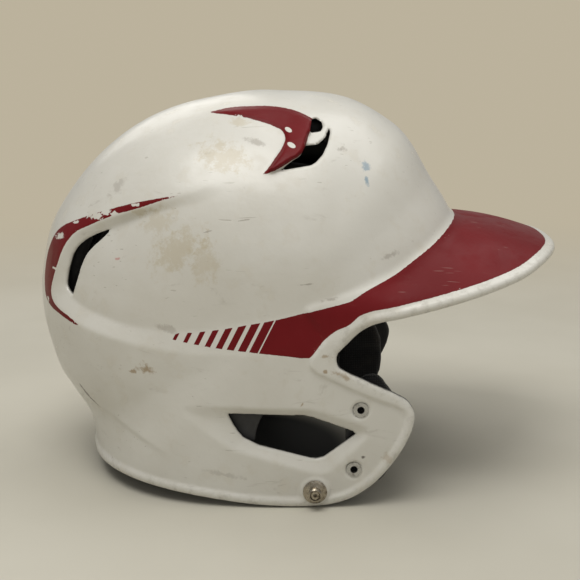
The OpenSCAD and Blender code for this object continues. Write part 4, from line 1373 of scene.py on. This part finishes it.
# ------------------------------------------------------------------ boards, cores and tabs
def flap_pad(word, ring, sign, side):
    """Thin backing board in the ear flap, and the soft core between board and face."""
    cells = (60, 24)
    v, faces, _ = slab(ring_patch(*ring, side=sign, trim=0.2), cells, BOARD, 0.06)
    board = make_mesh(f"{word}_backing_{side}", v, faces, BASE_BOARD)
    register(board, f"{word}_pad_base_{side}")
    v, faces, _ = slab(ring_patch(*ring, side=sign, trim=2.0), cells, CORE, 0.10)
    core = make_mesh(f"{word}_core_{side}", v, faces, CORE_FOAM)
    register(core, f"{word}_pad_foam_{side}")
    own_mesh(core)


for sign, side in SIDES:
    flap_pad("ear", EAR_RING, sign, side)
    flap_pad("jaw", JAW_RING, sign, side)

# (profile angle, sideways angle) of the tabs between the liners and the comfort pads
TAB_PLACES = [(33, -24), (33, 0), (33, 24), (76, 0), (100, 0), (146, 0), (174, 0)]


def build_tabs():
    points, faces, count = [], [], 0
    for place in TAB_PLACES:
        v, f, _ = slab(dome_patch(place, (3.0, 3.4), k=0.9), (12, 12), TAB, 0.2)
        points.append(v)
        faces.append(f + count)
        count += len(v)
    obj = make_mesh("hook_and_loop_tabs", np.concatenate(points), np.concatenate(faces),
                    TAB_FABRIC)
    register(obj, "pad_tabs")


build_tabs()

# ------------------------------------------------------------------ CAD pieces kept as they are
KEPT = (("guard_inserts", INSERT_METAL), ("chin_snap", SNAP_METAL),
        ("chin_rivet", SNAP_METAL), ("chin_washer", SNAP_METAL))
for (piece, metal), (_, side) in itertools.product(KEPT, SIDES):
    mesh = nodes[f"{piece}_{side}"].data
    mesh.materials.clear()
    mesh.materials.append(metal)
    for polygon in mesh.polygons:
        polygon.material_index = 0

# ------------------------------------------------------------------ floor and world
BACKDROP = (0.500, 0.445, 0.335)
FLOOR_HALF = 6                  # metres
FLOOR_DROP = 0.0004             # metres below the part


def floor_material():
    """Pale matt floor with a painted shadow under the part, fading into the backdrop far from the
    part.
    """
    g = Graph("studio_floor")
    tone = g.noise(scale=6.0, detail=3, vector=g.position)
    x, y, _ = g.separate(g.position)
    pale = g.mix_colour(g.ramp(tone, start=0.3, end=0.7), (0.53, 0.505, 0.43),
                        (0.57, 0.545, 0.47))
    # painted shadow: the floor is painted near black in an ellipse under the middle of the part
    radius = g.length(x / 0.080, (y - (MID / 1000 + 0.030)) / 0.084)
    shade = g.fade(radius, start=0.66, end=0.96)
    g.finish({"Base Color": g.mix_colour(shade, pale, (0.035, 0.035, 0.034)),
              "Roughness": 0.6, "Specular IOR Level": 0.25})
    glow = g.fill(g.node("ShaderNodeEmission"), {0: BACKDROP})
    distance = g.ramp(g.length(x, y), start=0.26, end=0.95)
    mixed = g.fill(g.node("ShaderNodeMixShader"), {0: distance, 1: g.get(g.shader), 2: glow})
    g.put(g.output.inputs[0], mixed)
    return g.material


def build_floor():
    z, half = min(0.0, cad_low[2]) - FLOOR_DROP, FLOOR_HALF
    mesh = bpy.data.meshes.new("floor")
    mesh.from_pydata([(-half, -half, z), (half, -half, z), (half, half, z), (-half, half, z)],
                     [], [(0, 1, 2, 3)])
    mesh.materials.append(floor_material())
    link(bpy.data.objects.new("floor", mesh))


def build_world():
    """The camera sees the backdrop; everything else gets a dimmer, soft light."""
    world = bpy.data.worlds.new("studio")
    scene.world = world
    world.use_nodes = True
    tree = world.node_tree
    backdrop = tree.nodes["Background"]
    backdrop.inputs["Color"].default_value = (*BACKDROP, 1)
    backdrop.inputs["Strength"].default_value = 1.0
    ambient = tree.nodes.new("ShaderNodeBackground")
    ambient.inputs["Color"].default_value = (0.80, 0.79, 0.75, 1)
    ambient.inputs["Strength"].default_value = 0.34
    ray = tree.nodes.new("ShaderNodeLightPath")
    pick = tree.nodes.new("ShaderNodeMixShader")
    tree.links.new(ray.outputs["Is Camera Ray"], pick.inputs[0])
    tree.links.new(ambient.outputs[0], pick.inputs[1])
    tree.links.new(backdrop.outputs[0], pick.inputs[2])
    tree.links.new(pick.outputs[0], tree.nodes["World Output"].inputs[0])


build_floor()
scene.view_settings.view_transform = "Standard"
build_world()


# ------------------------------------------------------------------ lights and camera
def area_light(name, place, size, power, colour, aim_z=0.10):
    """Rectangular light aimed at the z axis; metres and watts."""
    light = bpy.data.lights.new(name, "AREA")
    light.shape = "RECTANGLE"
    light.size, light.size_y = size
    light.energy = power
    light.color = colour
    obj = bpy.data.objects.new(name, light)
    obj.location = place
    toward = Vector((0, 0, aim_z)) - Vector(place)
    obj.rotation_euler = toward.to_track_quat("-Z", "Y").to_euler()
    link(obj)


area_light("key", place=(-0.55, 0.25, 1.35), size=(0.9, 0.7), power=10.5,
           colour=(1, 0.985, 0.945))
area_light("top", place=(0.20, -0.45, 1.5), size=(1.3, 1.3), power=8.4, colour=(1, 0.985, 0.95))
area_light("fill", place=(-1.3, -0.5, 0.75), size=(0.9, 0.9), power=1.0, colour=(1, 0.99, 0.97),
           aim_z=0.09)
area_light("back", place=(1.2, 0.5, 0.9), size=(0.8, 0.8), power=2.4, colour=(1, 0.97, 0.90))

# the camera looks at the right side from slightly above
CAMERA_DISTANCE, CAMERA_AIM_Z = 0.650, 0.091    # metres
CAMERA_RISE, CAMERA_TURN = math.radians(13), math.radians(0.5)


def build_camera():
    data = bpy.data.cameras.new("camera")
    data.sensor_width = 36
    data.lens = 70.240345
    data.shift_y = 0.010344828
    data.clip_start, data.clip_end = 0.01, 20
    camera = bpy.data.objects.new("camera", data)
    outward = Vector((-math.cos(CAMERA_RISE) * math.cos(CAMERA_TURN),
                      -math.cos(CAMERA_RISE) * math.sin(CAMERA_TURN), math.sin(CAMERA_RISE)))
    camera.location = Vector((0, MID / 1000, CAMERA_AIM_Z)) + outward * CAMERA_DISTANCE
    camera.rotation_mode = "QUATERNION"
    camera.rotation_quaternion = (-outward).to_track_quat("-Z", "Y")
    scene.camera = link(camera)


build_camera()
